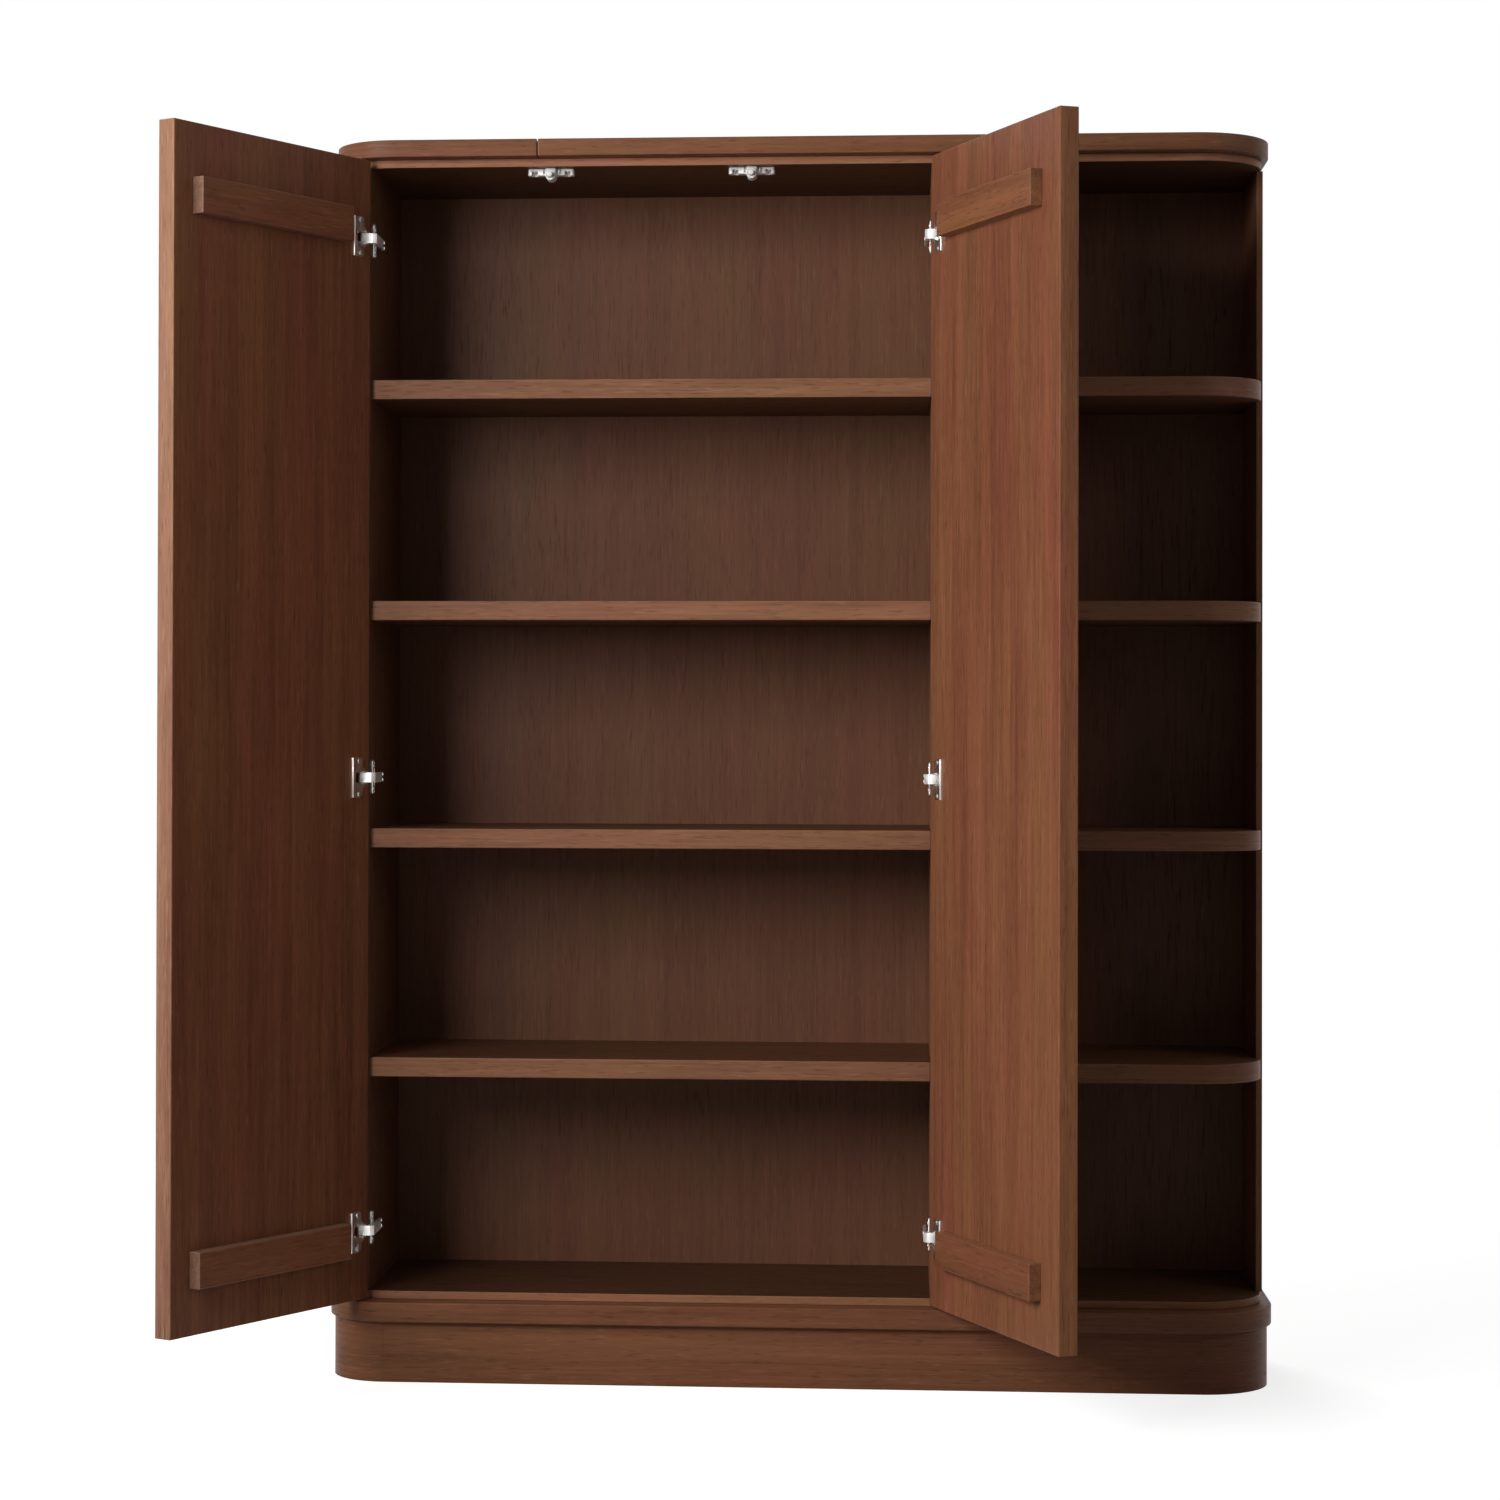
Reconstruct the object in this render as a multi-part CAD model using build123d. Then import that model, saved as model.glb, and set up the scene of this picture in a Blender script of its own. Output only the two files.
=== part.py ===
from build123d import *
import os

# Tall storage cabinet with a two-door compartment and an open side unit with rounded shelves.
# Millimetres. X runs to the right, the fronts face -Y and Z is up.
# The origin is on the floor, at the middle of the plan.

# Overall heights and the two slabs
TOTAL_HEIGHT = 1800.0
PLINTH_HEIGHT = 88.0
BASE_SLAB_THICKNESS = 29.0
TOP_SLAB_THICKNESS = 25.0
BASE_SLAB_WIDTH = 1372.0
BASE_SLAB_DEPTH = 340.0
TOP_SLAB_INSET = 5.0
RIGHT_CORNER_RADIUS = 115.0
LEFT_CORNER_RADIUS = 95.0
TOP_JOINT_FROM_LEFT = 309.0
TOP_JOINT_GAP = 1.2
TOP_JOINT_BEVEL = 1.2
SLAB_EDGE_ROUND = 2.0

# Plinth
PLINTH_INSET_FRONT = 12.0
PLINTH_INSET_SIDE = 6.0
PLINTH_INSET_BACK = 12.0
PLINTH_BOARD = 22.0
PLINTH_BRACE_SPACING = 330.0
PLINTH_BRACES = (-1, 0, 1)

# Carcass
CARCASS_PANEL = 12.0
CARCASS_BACK_GAP = 4.0
BACK_PANEL = 8.0
WALL = 28.0
WALL_INSET = 64.0
MAIN_BAY_WIDTH = 814.0
SIDE_PANEL = 9.0
SIDE_PANEL_INSET = 11.0
SIDE_SHELF_REVEAL = 3.0
SIDE_SHELF_CORNER_RADIUS = 100.0
LEFT_END_INSET = 11.0

# Shelves, the same in both units, with the rise of each top over the bottom panel
SHELF_THICKNESS = 28.0
SHELF_RISES = (339.0, 672.0, 1003.0, 1325.0)
EDGE_ROUND = 1.2
DOWEL_RADIUS = 4.0
DOWEL_IN_SHELF = 24.0
DOWEL_IN_WALL = 14.0
DOWEL_IN_SIDE_PANEL = 6.0
DOWEL_IN_CARCASS_PANEL = 8.0
DOWEL_IN_WALL_END = 26.0
DOWEL_FROM_EDGE = 70.0

# Doors
DOOR_THICKNESS = 28.0
DOOR_GAP = 2.0
DOOR_SLAB_GAP = 3.0
DOOR_MEETING_GAP = 3.0
DOOR_OVERLAY = 17.0
DOOR_EDGE_ROUND = 1.5
DOOR_RIM_ROUND = 0.8
RIGHT_DOOR_BACK_ROUND = 6.0
LEFT_DOOR_OPEN = 120.0
RIGHT_DOOR_OPEN = 113.0

# Battens on the inner faces of the doors
BATTEN_HEIGHT = 50.0
BATTEN_THICKNESS = 18.0
BATTEN_FROM_DOOR_TOP = 75.0
BATTEN_FROM_DOOR_BOTTOM = 65.0
LEFT_BATTEN_FREE_INSET = 39.0
RIGHT_BATTEN_FREE_INSET = 54.0
BATTEN_HINGE_INSET = 58.0
BATTEN_EDGE_ROUND = 1.0

# Cup hinges, three to a door
HINGE_FROM_DOOR_TOP = 113.0
HINGE_FROM_DOOR_BOTTOM = 98.0
MIDDLE_HINGE_RISE = 657.0
HINGE_PIVOT_OUTWARD = 11.5
HINGE_PIVOT_FORWARD = 12.2
PIN_RADIUS = 1.5
PIN_CLEARANCE = 0.05
CUP_RADIUS = 17.5
CUP_DEPTH = 12.5
CUP_WALL = 1.2
CUP_EDGE_DISTANCE = 22.5
CUP_CLEARANCE = 0.3
FLANGE_HEIGHT = 58.0
FLANGE_WIDTH = 25.0
FLANGE_THICKNESS = 1.2
FLANGE_OFFSET = 5.0
FLANGE_LIP_THICKNESS = 2.0
FLANGE_LIP_HEIGHT = 3.6
FLANGE_SCREW_SPACING = 48.0
LUG_THICKNESS = 2.2
LUG_REACH = 4.6
SLOT_CLEARANCE = 1.2
ARM_HEIGHT = 14.0
ARM_BOSS_RADIUS = 3.4
ARM_SIDE_CLEARANCE = 0.6
ARM_END_CLEARANCE = 5.0
ARM_THICKNESS = 4.0
ARM_NOSE_BEVEL = 5.6
ARM_LENGTH = 66.0
MOUNT_PLATE_HEIGHT = 51.0
MOUNT_PLATE_THICKNESS = 2.4
MOUNT_PLATE_WIDTH = 18.0
MOUNT_RAIL_HEIGHT = 11.0
MOUNT_RAIL_THICKNESS = 3.2
MOUNT_RAIL_SETBACK = 6.0
MOUNT_PLATE_SETBACK = 20.0
MOUNT_SCREW_SPACING = 32.0
SCREW_HEAD_RADIUS = 3.6
SCREW_HEAD_HEIGHT = 1.6
SCREW_SHANK_RADIUS = 1.9
SCREW_LENGTH = 13.0

# Push latches under the carcass top panel
LATCH_FROM_WALL = 260.5
LATCH_WING_WIDTH = 67.0
LATCH_WING_HEIGHT = 9.0
LATCH_WING_DEPTH = 16.0
LATCH_BARREL_RADIUS = 7.2
LATCH_BARREL_DROP = 10.0
LATCH_BARREL_FRONT = 11.0
LATCH_BARREL_LENGTH = 28.0
LATCH_WING_SETBACK = 22.0
LATCH_SCREW_SPACING = 48.0
LATCH_BORE_RADIUS = 4.6
LATCH_BORE_DEPTH = 23.0
PLUNGER_RADIUS = 4.3
PLUNGER_DOOR_CLEARANCE = 1.0
PLUNGER_TRAVEL = 6.0
PLUNGER_HEAD = 14.0
PLUNGER_STEM_RADIUS = 1.6
SPRING_CLEARANCE = 0.5
SPRING_WALL = 1.1

# Levels worked out from the sizes above
base_bottom = PLINTH_HEIGHT
base_top = base_bottom + BASE_SLAB_THICKNESS
top_bottom = TOTAL_HEIGHT - TOP_SLAB_THICKNESS
floor_top = base_top + CARCASS_PANEL
ceiling = top_bottom - CARCASS_PANEL

# Plan lines
front = -BASE_SLAB_DEPTH / 2
back = BASE_SLAB_DEPTH / 2
left = -BASE_SLAB_WIDTH / 2
right = BASE_SLAB_WIDTH / 2
carcass_front = front + DOOR_THICKNESS + DOOR_GAP
carcass_back = back - CARCASS_BACK_GAP - BACK_PANEL
wall_outer = left + WALL_INSET - WALL
wall_inner = left + WALL_INSET
divider_left_face = wall_inner + MAIN_BAY_WIDTH
divider_right_face = divider_left_face + WALL
end_outer = left + LEFT_END_INSET
side_outer = right - SIDE_PANEL_INSET
side_inner = side_outer - SIDE_PANEL
shelf_outer = side_outer - SIDE_SHELF_REVEAL
side_panel_front = carcass_front + SIDE_SHELF_CORNER_RADIUS
top_joint_x = left + TOP_JOINT_FROM_LEFT
left_carcass_radius = LEFT_CORNER_RADIUS + front - carcass_front + (LEFT_END_INSET * 2)

made = {}


def board(x0, x1, y0, y1, z0, z1):
    """A square-edged board between two corners."""
    return Pos((x0 + x1) / 2, (y0 + y1) / 2, (z0 + z1) / 2) * Box(x1 - x0, y1 - y0, z1 - z0)


def upright_rod(x, y, z0, z1, radius):
    """A rod that stands along Z."""
    return Pos(x, y, (z0 + z1) / 2) * Cylinder(radius, z1 - z0)


def cross_rod(x0, x1, y, z, radius):
    """A rod that lies along X."""
    return Pos((x0 + x1) / 2, y, z) * Rot(0, 90, 0) * Cylinder(radius, x1 - x0)


def depth_rod(x, y0, y1, z, radius):
    """A rod that lies along Y."""
    return Pos(x, (y0 + y1) / 2, z) * Rot(90, 0, 0) * Cylinder(radius, y1 - y0)


def slab(x0, x1, y0, y1, z0, z1, left_radius, right_radius):
    """A board whose two front corners are round in plan."""
    with BuildSketch() as plan:
        with BuildLine():
            Line((x0, y1), (x0, y0 + left_radius))
            RadiusArc((x0, y0 + left_radius), (x0 + left_radius, y0), -left_radius)
            Line((x0 + left_radius, y0), (x1 - right_radius, y0))
            RadiusArc((x1 - right_radius, y0), (x1, y0 + right_radius), -right_radius)
            Line((x1, y0 + right_radius), (x1, y1))
            Line((x1, y1), (x0, y1))
        make_face()
    return Pos(0, 0, z0) * extrude(plan.sketch, z1 - z0)


def softened(shape, radius, keep):
    """Rounds the edges that keep picks, by a radius the wall can carry."""
    edges = [edge for edge in shape.edges() if keep(edge)]
    return fillet(edges, radius) if edges else shape


def level(edge):
    """Says whether an edge lies level, as those round a slab's top and bottom do."""
    return edge.bounding_box().size.Z < 1e-3


def along_front(edge):
    """Says whether an edge lies level on the carcass's front or its round corner."""
    box = edge.bounding_box()
    return level(edge) and box.min.Y < carcass_front + 1e-3


def upright_front(edge):
    """Says whether an edge stands upright on the board's front."""
    box = edge.bounding_box()
    return box.size.Z > 1 and box.max.Y < carcass_front + 1e-3


def keep_node(name, shape):
    """Keeps one node's solid or group of solids under its name."""
    made[name] = shape


def group(pieces):
    """Holds separate like pieces in one node."""
    return Compound([solid for piece in pieces for solid in piece.solids()])


# Plinth: straight boards, two bent front corners and three braces
plinth_left = left + PLINTH_INSET_SIDE
plinth_right = right - PLINTH_INSET_SIDE
plinth_front = front + PLINTH_INSET_FRONT
plinth_back = back - PLINTH_INSET_BACK
plinth_left_radius = LEFT_CORNER_RADIUS - PLINTH_INSET_FRONT
plinth_right_radius = RIGHT_CORNER_RADIUS - PLINTH_INSET_FRONT


def plinth_corner(centre_x, centre_y, radius, side):
    """A bent board that turns the plinth's front corner."""
    ring = Circle(radius) - Circle(radius - PLINTH_BOARD)
    quarter = Pos(side * radius / 2, -radius / 2) * Rectangle(radius, radius)
    return Pos(centre_x, centre_y, 0) * extrude(ring & quarter, PLINTH_HEIGHT)


left_turn = plinth_left + plinth_left_radius
right_turn = plinth_right - plinth_right_radius
keep_node("plinth_corner_left", plinth_corner(
    left_turn, plinth_front + plinth_left_radius, plinth_left_radius, -1))
keep_node("plinth_corner_right", plinth_corner(
    right_turn, plinth_front + plinth_right_radius, plinth_right_radius, 1))
keep_node("plinth_front_board", board(
    left_turn, right_turn, plinth_front, plinth_front + PLINTH_BOARD, 0, PLINTH_HEIGHT))
keep_node("plinth_left_board", board(
    plinth_left, plinth_left + PLINTH_BOARD, plinth_front + plinth_left_radius, plinth_back,
    0, PLINTH_HEIGHT))
keep_node("plinth_right_board", board(
    plinth_right - PLINTH_BOARD, plinth_right, plinth_front + plinth_right_radius, plinth_back,
    0, PLINTH_HEIGHT))
keep_node("plinth_back_board", board(
    plinth_left + PLINTH_BOARD, plinth_right - PLINTH_BOARD, plinth_back - PLINTH_BOARD, plinth_back,
    0, PLINTH_HEIGHT))
for number, place in enumerate(PLINTH_BRACES, start=1):
    middle = place * PLINTH_BRACE_SPACING
    keep_node(f"plinth_brace_{number}", board(
        middle - PLINTH_BOARD / 2, middle + PLINTH_BOARD / 2,
        plinth_front + PLINTH_BOARD, plinth_back - PLINTH_BOARD, 0, PLINTH_HEIGHT))

# Base slab and the top slab in two lengths
base_slab = slab(left, right, front, back, base_bottom, base_top, LEFT_CORNER_RADIUS, RIGHT_CORNER_RADIUS)
keep_node("base_slab", softened(base_slab, SLAB_EDGE_ROUND, level))

top_slab = slab(
    left + TOP_SLAB_INSET, right - TOP_SLAB_INSET, front + TOP_SLAB_INSET, back,
    top_bottom, TOTAL_HEIGHT, LEFT_CORNER_RADIUS, RIGHT_CORNER_RADIUS)
top_slab = softened(top_slab, SLAB_EDGE_ROUND, level)
left_joint_face = top_joint_x - TOP_JOINT_GAP / 2
right_joint_face = top_joint_x + TOP_JOINT_GAP / 2
top_left = top_slab & board(left, left_joint_face, front, back, top_bottom, TOTAL_HEIGHT)
top_right = top_slab & board(right_joint_face, right, front, back, top_bottom, TOTAL_HEIGHT)


def joint_edges(edge):
    """Picks the joint's edges on the top and front of the slab."""
    box = edge.bounding_box()
    on_joint = abs(edge.center().X - top_joint_x) < TOP_JOINT_GAP and box.size.X < TOP_JOINT_GAP / 2
    straight = edge.geom_type == GeomType.LINE
    upright = box.size.Z > 1 and box.min.Y < 0
    on_top = box.size.Y > 1 and box.min.Z > TOTAL_HEIGHT - 1
    return on_joint and straight and (upright or on_top)


keep_node("top_slab_left", chamfer([e for e in top_left.edges() if joint_edges(e)], TOP_JOINT_BEVEL))
keep_node("top_slab_right", chamfer([e for e in top_right.edges() if joint_edges(e)], TOP_JOINT_BEVEL))

# Carcass top and bottom panels, which run the whole width
for name, low, high in (("carcass_bottom_panel", base_top, floor_top), ("carcass_top_panel", ceiling, top_bottom)):
    panel = slab(
        end_outer, shelf_outer, carcass_front, carcass_back, low, high,
        left_carcass_radius, SIDE_SHELF_CORNER_RADIUS)
    keep_node(name, softened(panel, EDGE_ROUND, along_front))

# Uprights
left_wall = board(wall_outer, wall_inner, carcass_front, carcass_back, floor_top, ceiling)
left_wall = softened(left_wall, EDGE_ROUND, upright_front)
divider = board(divider_left_face, divider_right_face, carcass_front, carcass_back, floor_top, ceiling)
divider = softened(divider, EDGE_ROUND, upright_front)
side_panel = board(side_inner, side_outer, side_panel_front, carcass_back, floor_top, ceiling)
end_turn_y = carcass_front + left_carcass_radius
end_outline = slab(
    end_outer, shelf_outer, carcass_front, carcass_back, floor_top, ceiling,
    left_carcass_radius, SIDE_SHELF_CORNER_RADIUS)
corner_post = end_outline & board(end_outer, wall_outer, carcass_front, end_turn_y, floor_top, ceiling)
end_panel = board(end_outer, wall_outer, end_turn_y, carcass_back, floor_top, ceiling)

# Back panels, one behind each unit
back_joint = (divider_left_face + divider_right_face) / 2
keep_node("main_back_panel", board(
    end_outer, back_joint, carcass_back, carcass_back + BACK_PANEL, base_top, top_bottom))
keep_node("side_back_panel", board(
    back_joint, side_outer, carcass_back, carcass_back + BACK_PANEL, base_top, top_bottom))

# Shelves
dowel_rows = (carcass_front + DOWEL_FROM_EDGE, carcass_back - DOWEL_FROM_EDGE)
side_dowel_rows = (side_panel_front + DOWEL_FROM_EDGE / 2, carcass_back - DOWEL_FROM_EDGE / 2)
side_notch = board(side_inner, right, side_panel_front, back, 0, SHELF_THICKNESS)
side_shelf_blank = board(
    divider_right_face, shelf_outer, carcass_front, carcass_back, 0, SHELF_THICKNESS)
side_shelf_blank = fillet(
    side_shelf_blank.edges().filter_by(Axis.Z).sort_by(Axis.Y)[:2].sort_by(Axis.X)[-1:],
    SIDE_SHELF_CORNER_RADIUS)
side_shelf_blank = softened(side_shelf_blank, EDGE_ROUND, along_front) - side_notch
main_shelf_blank = board(wall_inner, divider_left_face, carcass_front, carcass_back, 0, SHELF_THICKNESS)
main_shelf_blank = softened(main_shelf_blank, EDGE_ROUND, along_front)
left_dowels, divider_dowels, side_dowels = [], [], []
main_shelves, side_shelves = [], []
for rise in SHELF_RISES:
    top = floor_top + rise
    main_shelf = Pos(0, 0, top - SHELF_THICKNESS) * main_shelf_blank
    side_shelf = Pos(0, 0, top - SHELF_THICKNESS) * side_shelf_blank
    middle = top - SHELF_THICKNESS / 2
    for row in dowel_rows:
        left_dowels.append(cross_rod(
            wall_inner - DOWEL_IN_WALL, wall_inner + DOWEL_IN_SHELF, row, middle, DOWEL_RADIUS))
        divider_dowels.append(cross_rod(
            divider_left_face - DOWEL_IN_SHELF, divider_right_face + DOWEL_IN_SHELF, row, middle,
            DOWEL_RADIUS))
        main_shelf = main_shelf - left_dowels[-1] - divider_dowels[-1]
        side_shelf = side_shelf - divider_dowels[-1]
    for row in side_dowel_rows:
        side_dowels.append(cross_rod(
            side_inner - DOWEL_IN_SHELF, side_inner + DOWEL_IN_SIDE_PANEL, row, middle, DOWEL_RADIUS))
        side_shelf = side_shelf - side_dowels[-1]
    main_shelves.append(main_shelf)
    side_shelves.append(side_shelf)
for number, (main_shelf, side_shelf) in enumerate(zip(main_shelves, side_shelves), start=1):
    keep_node(f"main_shelf_{number}", main_shelf)
    keep_node(f"side_shelf_{number}", side_shelf)
for rod in left_dowels:
    left_wall = left_wall - rod
for rod in divider_dowels:
    divider = divider - rod
for rod in side_dowels:
    side_panel = side_panel - rod
keep_node("left_shelf_dowels", group(left_dowels))
keep_node("divider_shelf_dowels", group(divider_dowels))
keep_node("side_shelf_dowels", group(side_dowels))

# Dowels that tie the uprights to the top and bottom panels
upright_dowels = []
for x in ((wall_outer + wall_inner) / 2, back_joint):
    for row in dowel_rows:
        upright_dowels.append(upright_rod(
            x, row, floor_top - DOWEL_IN_CARCASS_PANEL, floor_top + DOWEL_IN_WALL_END, DOWEL_RADIUS))
        upright_dowels.append(upright_rod(
            x, row, ceiling - DOWEL_IN_WALL_END, ceiling + DOWEL_IN_CARCASS_PANEL, DOWEL_RADIUS))
for rod in upright_dowels:
    left_wall = left_wall - rod
    divider = divider - rod
    made["carcass_bottom_panel"] = made["carcass_bottom_panel"] - rod
    made["carcass_top_panel"] = made["carcass_top_panel"] - rod
keep_node("upright_dowels", group(upright_dowels))
keep_node("left_wall", left_wall)
keep_node("divider", divider)
keep_node("right_side_panel", side_panel)
keep_node("left_corner_post", corner_post)
keep_node("left_end_panel", end_panel)

# Doors, drawn closed and then swung open about their hinge pins.
# A hinge is drawn for the left door, u mm into the cabinet from the wall's inner face and
# v mm behind the carcass front. The right door's hinges are its mirror image.
door_bottom = base_top + DOOR_SLAB_GAP
door_top = top_bottom - DOOR_SLAB_GAP
door_span = divider_left_face - wall_inner + 2 * DOOR_OVERLAY
door_width = (door_span - DOOR_MEETING_GAP) / 2
door_inner_face = carcass_front - DOOR_GAP
lowest_hinge = door_bottom + HINGE_FROM_DOOR_BOTTOM
highest_hinge = door_top - HINGE_FROM_DOOR_TOP
hinge_heights = (lowest_hinge, lowest_hinge + MIDDLE_HINGE_RISE, highest_hinge)
left_door_edge = wall_inner - DOOR_OVERLAY
right_door_edge = divider_left_face + DOOR_OVERLAY
pivot_y = carcass_front - HINGE_PIVOT_FORWARD
left_pivot_x = wall_inner - HINGE_PIVOT_OUTWARD
right_pivot_x = divider_left_face + HINGE_PIVOT_OUTWARD
mirror_plane = Plane(origin=((wall_inner + divider_left_face) / 2, 0, 0), z_dir=(1, 0, 0))


def swung(shape, pivot_x, angle):
    """Turns a door piece about its hinge pins, from closed to open."""
    return shape.rotate(Axis((pivot_x, pivot_y, 0), (0, 0, 1)), angle)


# The cup sits in a round pocket, and a narrower pocket in front of it takes the pin's lugs.
cup_x = left_door_edge + CUP_EDGE_DISTANCE
cup_floor = door_inner_face - CUP_DEPTH
slot_half = ARM_HEIGHT / 2 + ARM_SIDE_CLEARANCE
slot_end = cup_x + ARM_THICKNESS
lug_outer = slot_half + LUG_THICKNESS
lug_left = left_pivot_x - LUG_REACH


def hinge_pocket(z):
    """The room that one hinge takes out of the left door."""
    pocket = depth_rod(
        cup_x, cup_floor - CUP_CLEARANCE, door_inner_face, z, CUP_RADIUS + CUP_CLEARANCE)
    lugs = board(
        lug_left - CUP_CLEARANCE, cup_x, pivot_y - LUG_REACH - CUP_CLEARANCE, door_inner_face,
        z - lug_outer - CUP_CLEARANCE, z + lug_outer + CUP_CLEARANCE)
    slot = board(
        left_door_edge, slot_end, pivot_y - LUG_REACH - SLOT_CLEARANCE, door_inner_face,
        z - slot_half, z + slot_half)
    return pocket + lugs + slot


def hinge_cup(z):
    """A pressed cup with its screw flange, a raised lip and the two lugs that hold the pin."""
    cup = depth_rod(cup_x, cup_floor, door_inner_face, z, CUP_RADIUS)
    cup = cup - depth_rod(cup_x, cup_floor + CUP_WALL, door_inner_face, z, CUP_RADIUS - CUP_WALL)
    cup = cup - board(
        left_door_edge, slot_end, cup_floor - CUP_WALL, door_inner_face, z - slot_half, z + slot_half)
    flange_near = cup_x + FLANGE_OFFSET - FLANGE_WIDTH / 2
    flange_far = flange_near + FLANGE_WIDTH
    flange = board(
        flange_near, flange_far, door_inner_face, door_inner_face + FLANGE_THICKNESS,
        z - FLANGE_HEIGHT / 2, z + FLANGE_HEIGHT / 2)
    flange = fillet(flange.edges().filter_by(Axis.Y).sort_by(Axis.X)[:2], FLANGE_WIDTH / 5)
    flange = flange + board(
        flange_far - FLANGE_LIP_THICKNESS, flange_far, door_inner_face, door_inner_face + FLANGE_LIP_HEIGHT,
        z - FLANGE_HEIGHT / 2, z + FLANGE_HEIGHT / 2)
    flange = flange - board(
        left_door_edge, slot_end + ARM_END_CLEARANCE, door_inner_face, door_inner_face + FLANGE_THICKNESS,
        z - slot_half, z + slot_half)
    body = cup + flange
    for side in (-1, 1):
        near = z + side * slot_half
        far = z + side * lug_outer
        lug = board(
            lug_left, cup_x - CUP_RADIUS / 2, pivot_y - LUG_REACH, door_inner_face,
            min(near, far), max(near, far))
        body = body + lug
        body = body - depth_rod(
            cup_x, door_inner_face, door_inner_face + FLANGE_THICKNESS,
            z + side * FLANGE_SCREW_SPACING / 2, SCREW_SHANK_RADIUS)
    return body - upright_rod(left_pivot_x, pivot_y, z - lug_outer, z + lug_outer, PIN_RADIUS)


def hinge_pin(z):
    """The pin that the arm turns on."""
    return upright_rod(left_pivot_x, pivot_y, z - lug_outer, z + lug_outer, PIN_RADIUS)


def hinge_arm(z):
    """The crooked arm: a boss on the pin, a square nose round the wall's edge and a long flat tail."""
    tail_start = carcass_front + ARM_THICKNESS
    inner = wall_inner + MOUNT_PLATE_THICKNESS + MOUNT_RAIL_THICKNESS
    outer = inner + ARM_THICKNESS
    nose_front = pivot_y - ARM_BOSS_RADIUS
    with BuildSketch(Plane.XY) as plan:
        with BuildLine():
            Polyline(
                (left_pivot_x, nose_front),
                (outer - ARM_NOSE_BEVEL, nose_front),
                (outer, nose_front + ARM_NOSE_BEVEL),
                (outer, carcass_front + ARM_LENGTH),
                (inner, carcass_front + ARM_LENGTH),
                (inner, tail_start),
                (wall_inner + DOOR_GAP, carcass_front - DOOR_GAP),
                (left_pivot_x, pivot_y + ARM_BOSS_RADIUS),
                close=True)
        make_face()
        with Locations((left_pivot_x, pivot_y)):
            Circle(ARM_BOSS_RADIUS)
    arm = Pos(0, 0, z - ARM_HEIGHT / 2) * extrude(plan.sketch, ARM_HEIGHT)
    return arm - upright_rod(
        left_pivot_x, pivot_y, z - ARM_HEIGHT, z + ARM_HEIGHT, PIN_RADIUS + PIN_CLEARANCE)


def mount_plate(z):
    """The plate on the wall that the arm's tail is clipped to."""
    middle = carcass_front + MOUNT_PLATE_SETBACK
    plate = board(
        wall_inner, wall_inner + MOUNT_PLATE_THICKNESS,
        middle - MOUNT_PLATE_WIDTH / 2, middle + MOUNT_PLATE_WIDTH / 2,
        z - MOUNT_PLATE_HEIGHT / 2, z + MOUNT_PLATE_HEIGHT / 2)
    plate = fillet(plate.edges().filter_by(Axis.X), MOUNT_PLATE_WIDTH / 3)
    rail_low = wall_inner + MOUNT_PLATE_THICKNESS
    rail = board(
        rail_low, rail_low + MOUNT_RAIL_THICKNESS,
        carcass_front + MOUNT_RAIL_SETBACK, carcass_front + ARM_LENGTH - ARM_THICKNESS,
        z - MOUNT_RAIL_HEIGHT / 2, z + MOUNT_RAIL_HEIGHT / 2)
    body = plate + rail
    for side in (-1, 1):
        body = body - cross_rod(
            wall_inner, rail_low, middle, z + side * MOUNT_SCREW_SPACING / 2, SCREW_SHANK_RADIUS)
    return body


def flange_screw(z):
    """A domed screw through the cup's flange into the door."""
    head_seat = door_inner_face + FLANGE_THICKNESS
    shank = depth_rod(cup_x, head_seat - SCREW_LENGTH, head_seat, z, SCREW_SHANK_RADIUS)
    head = depth_rod(cup_x, head_seat, head_seat + SCREW_HEAD_HEIGHT / 2, z, SCREW_HEAD_RADIUS)
    return shank + head


def plate_screw(z):
    """A domed screw through the mounting plate into the wall."""
    head_seat = wall_inner + MOUNT_PLATE_THICKNESS
    y = carcass_front + MOUNT_PLATE_SETBACK
    shank = cross_rod(head_seat - SCREW_LENGTH, head_seat, y, z, SCREW_SHANK_RADIUS)
    head = cross_rod(head_seat, head_seat + SCREW_HEAD_HEIGHT, y, z, SCREW_HEAD_RADIUS)
    return shank + head


def screw_heights(spacing):
    """The heights of every screw pair on one door's hinges."""
    return [z + side * spacing / 2 for z in hinge_heights for side in (-1, 1)]


cups = [hinge_cup(z) for z in hinge_heights]
pins = [hinge_pin(z) for z in hinge_heights]
arms = [hinge_arm(z) for z in hinge_heights]
plates = [mount_plate(z) for z in hinge_heights]
flange_screws = [flange_screw(z) for z in screw_heights(FLANGE_SCREW_SPACING)]
plate_screws = [plate_screw(z) for z in screw_heights(MOUNT_SCREW_SPACING)]

# Left door: its outer face follows the base slab's round corner
door_blank = slab(left, right, front, back, door_bottom, door_top, LEFT_CORNER_RADIUS, RIGHT_CORNER_RADIUS)
left_door = door_blank & board(
    left_door_edge, left_door_edge + door_width, front, door_inner_face, door_bottom, door_top)
right_door = board(
    right_door_edge - door_width, right_door_edge, front, door_inner_face, door_bottom, door_top)
right_door = fillet(
    right_door.edges().filter_by(Axis.Z).sort_by(Axis.Y)[:2].sort_by(Axis.X)[-1:], RIGHT_DOOR_BACK_ROUND)
left_door = fillet(left_door.edges().filter_by(Axis.Z).sort_by(Axis.X)[-2:], DOOR_EDGE_ROUND)
right_door = fillet(right_door.edges().filter_by(Axis.Z).sort_by(Axis.X)[:2], DOOR_EDGE_ROUND)
left_door = softened(left_door, DOOR_RIM_ROUND, level)
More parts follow.
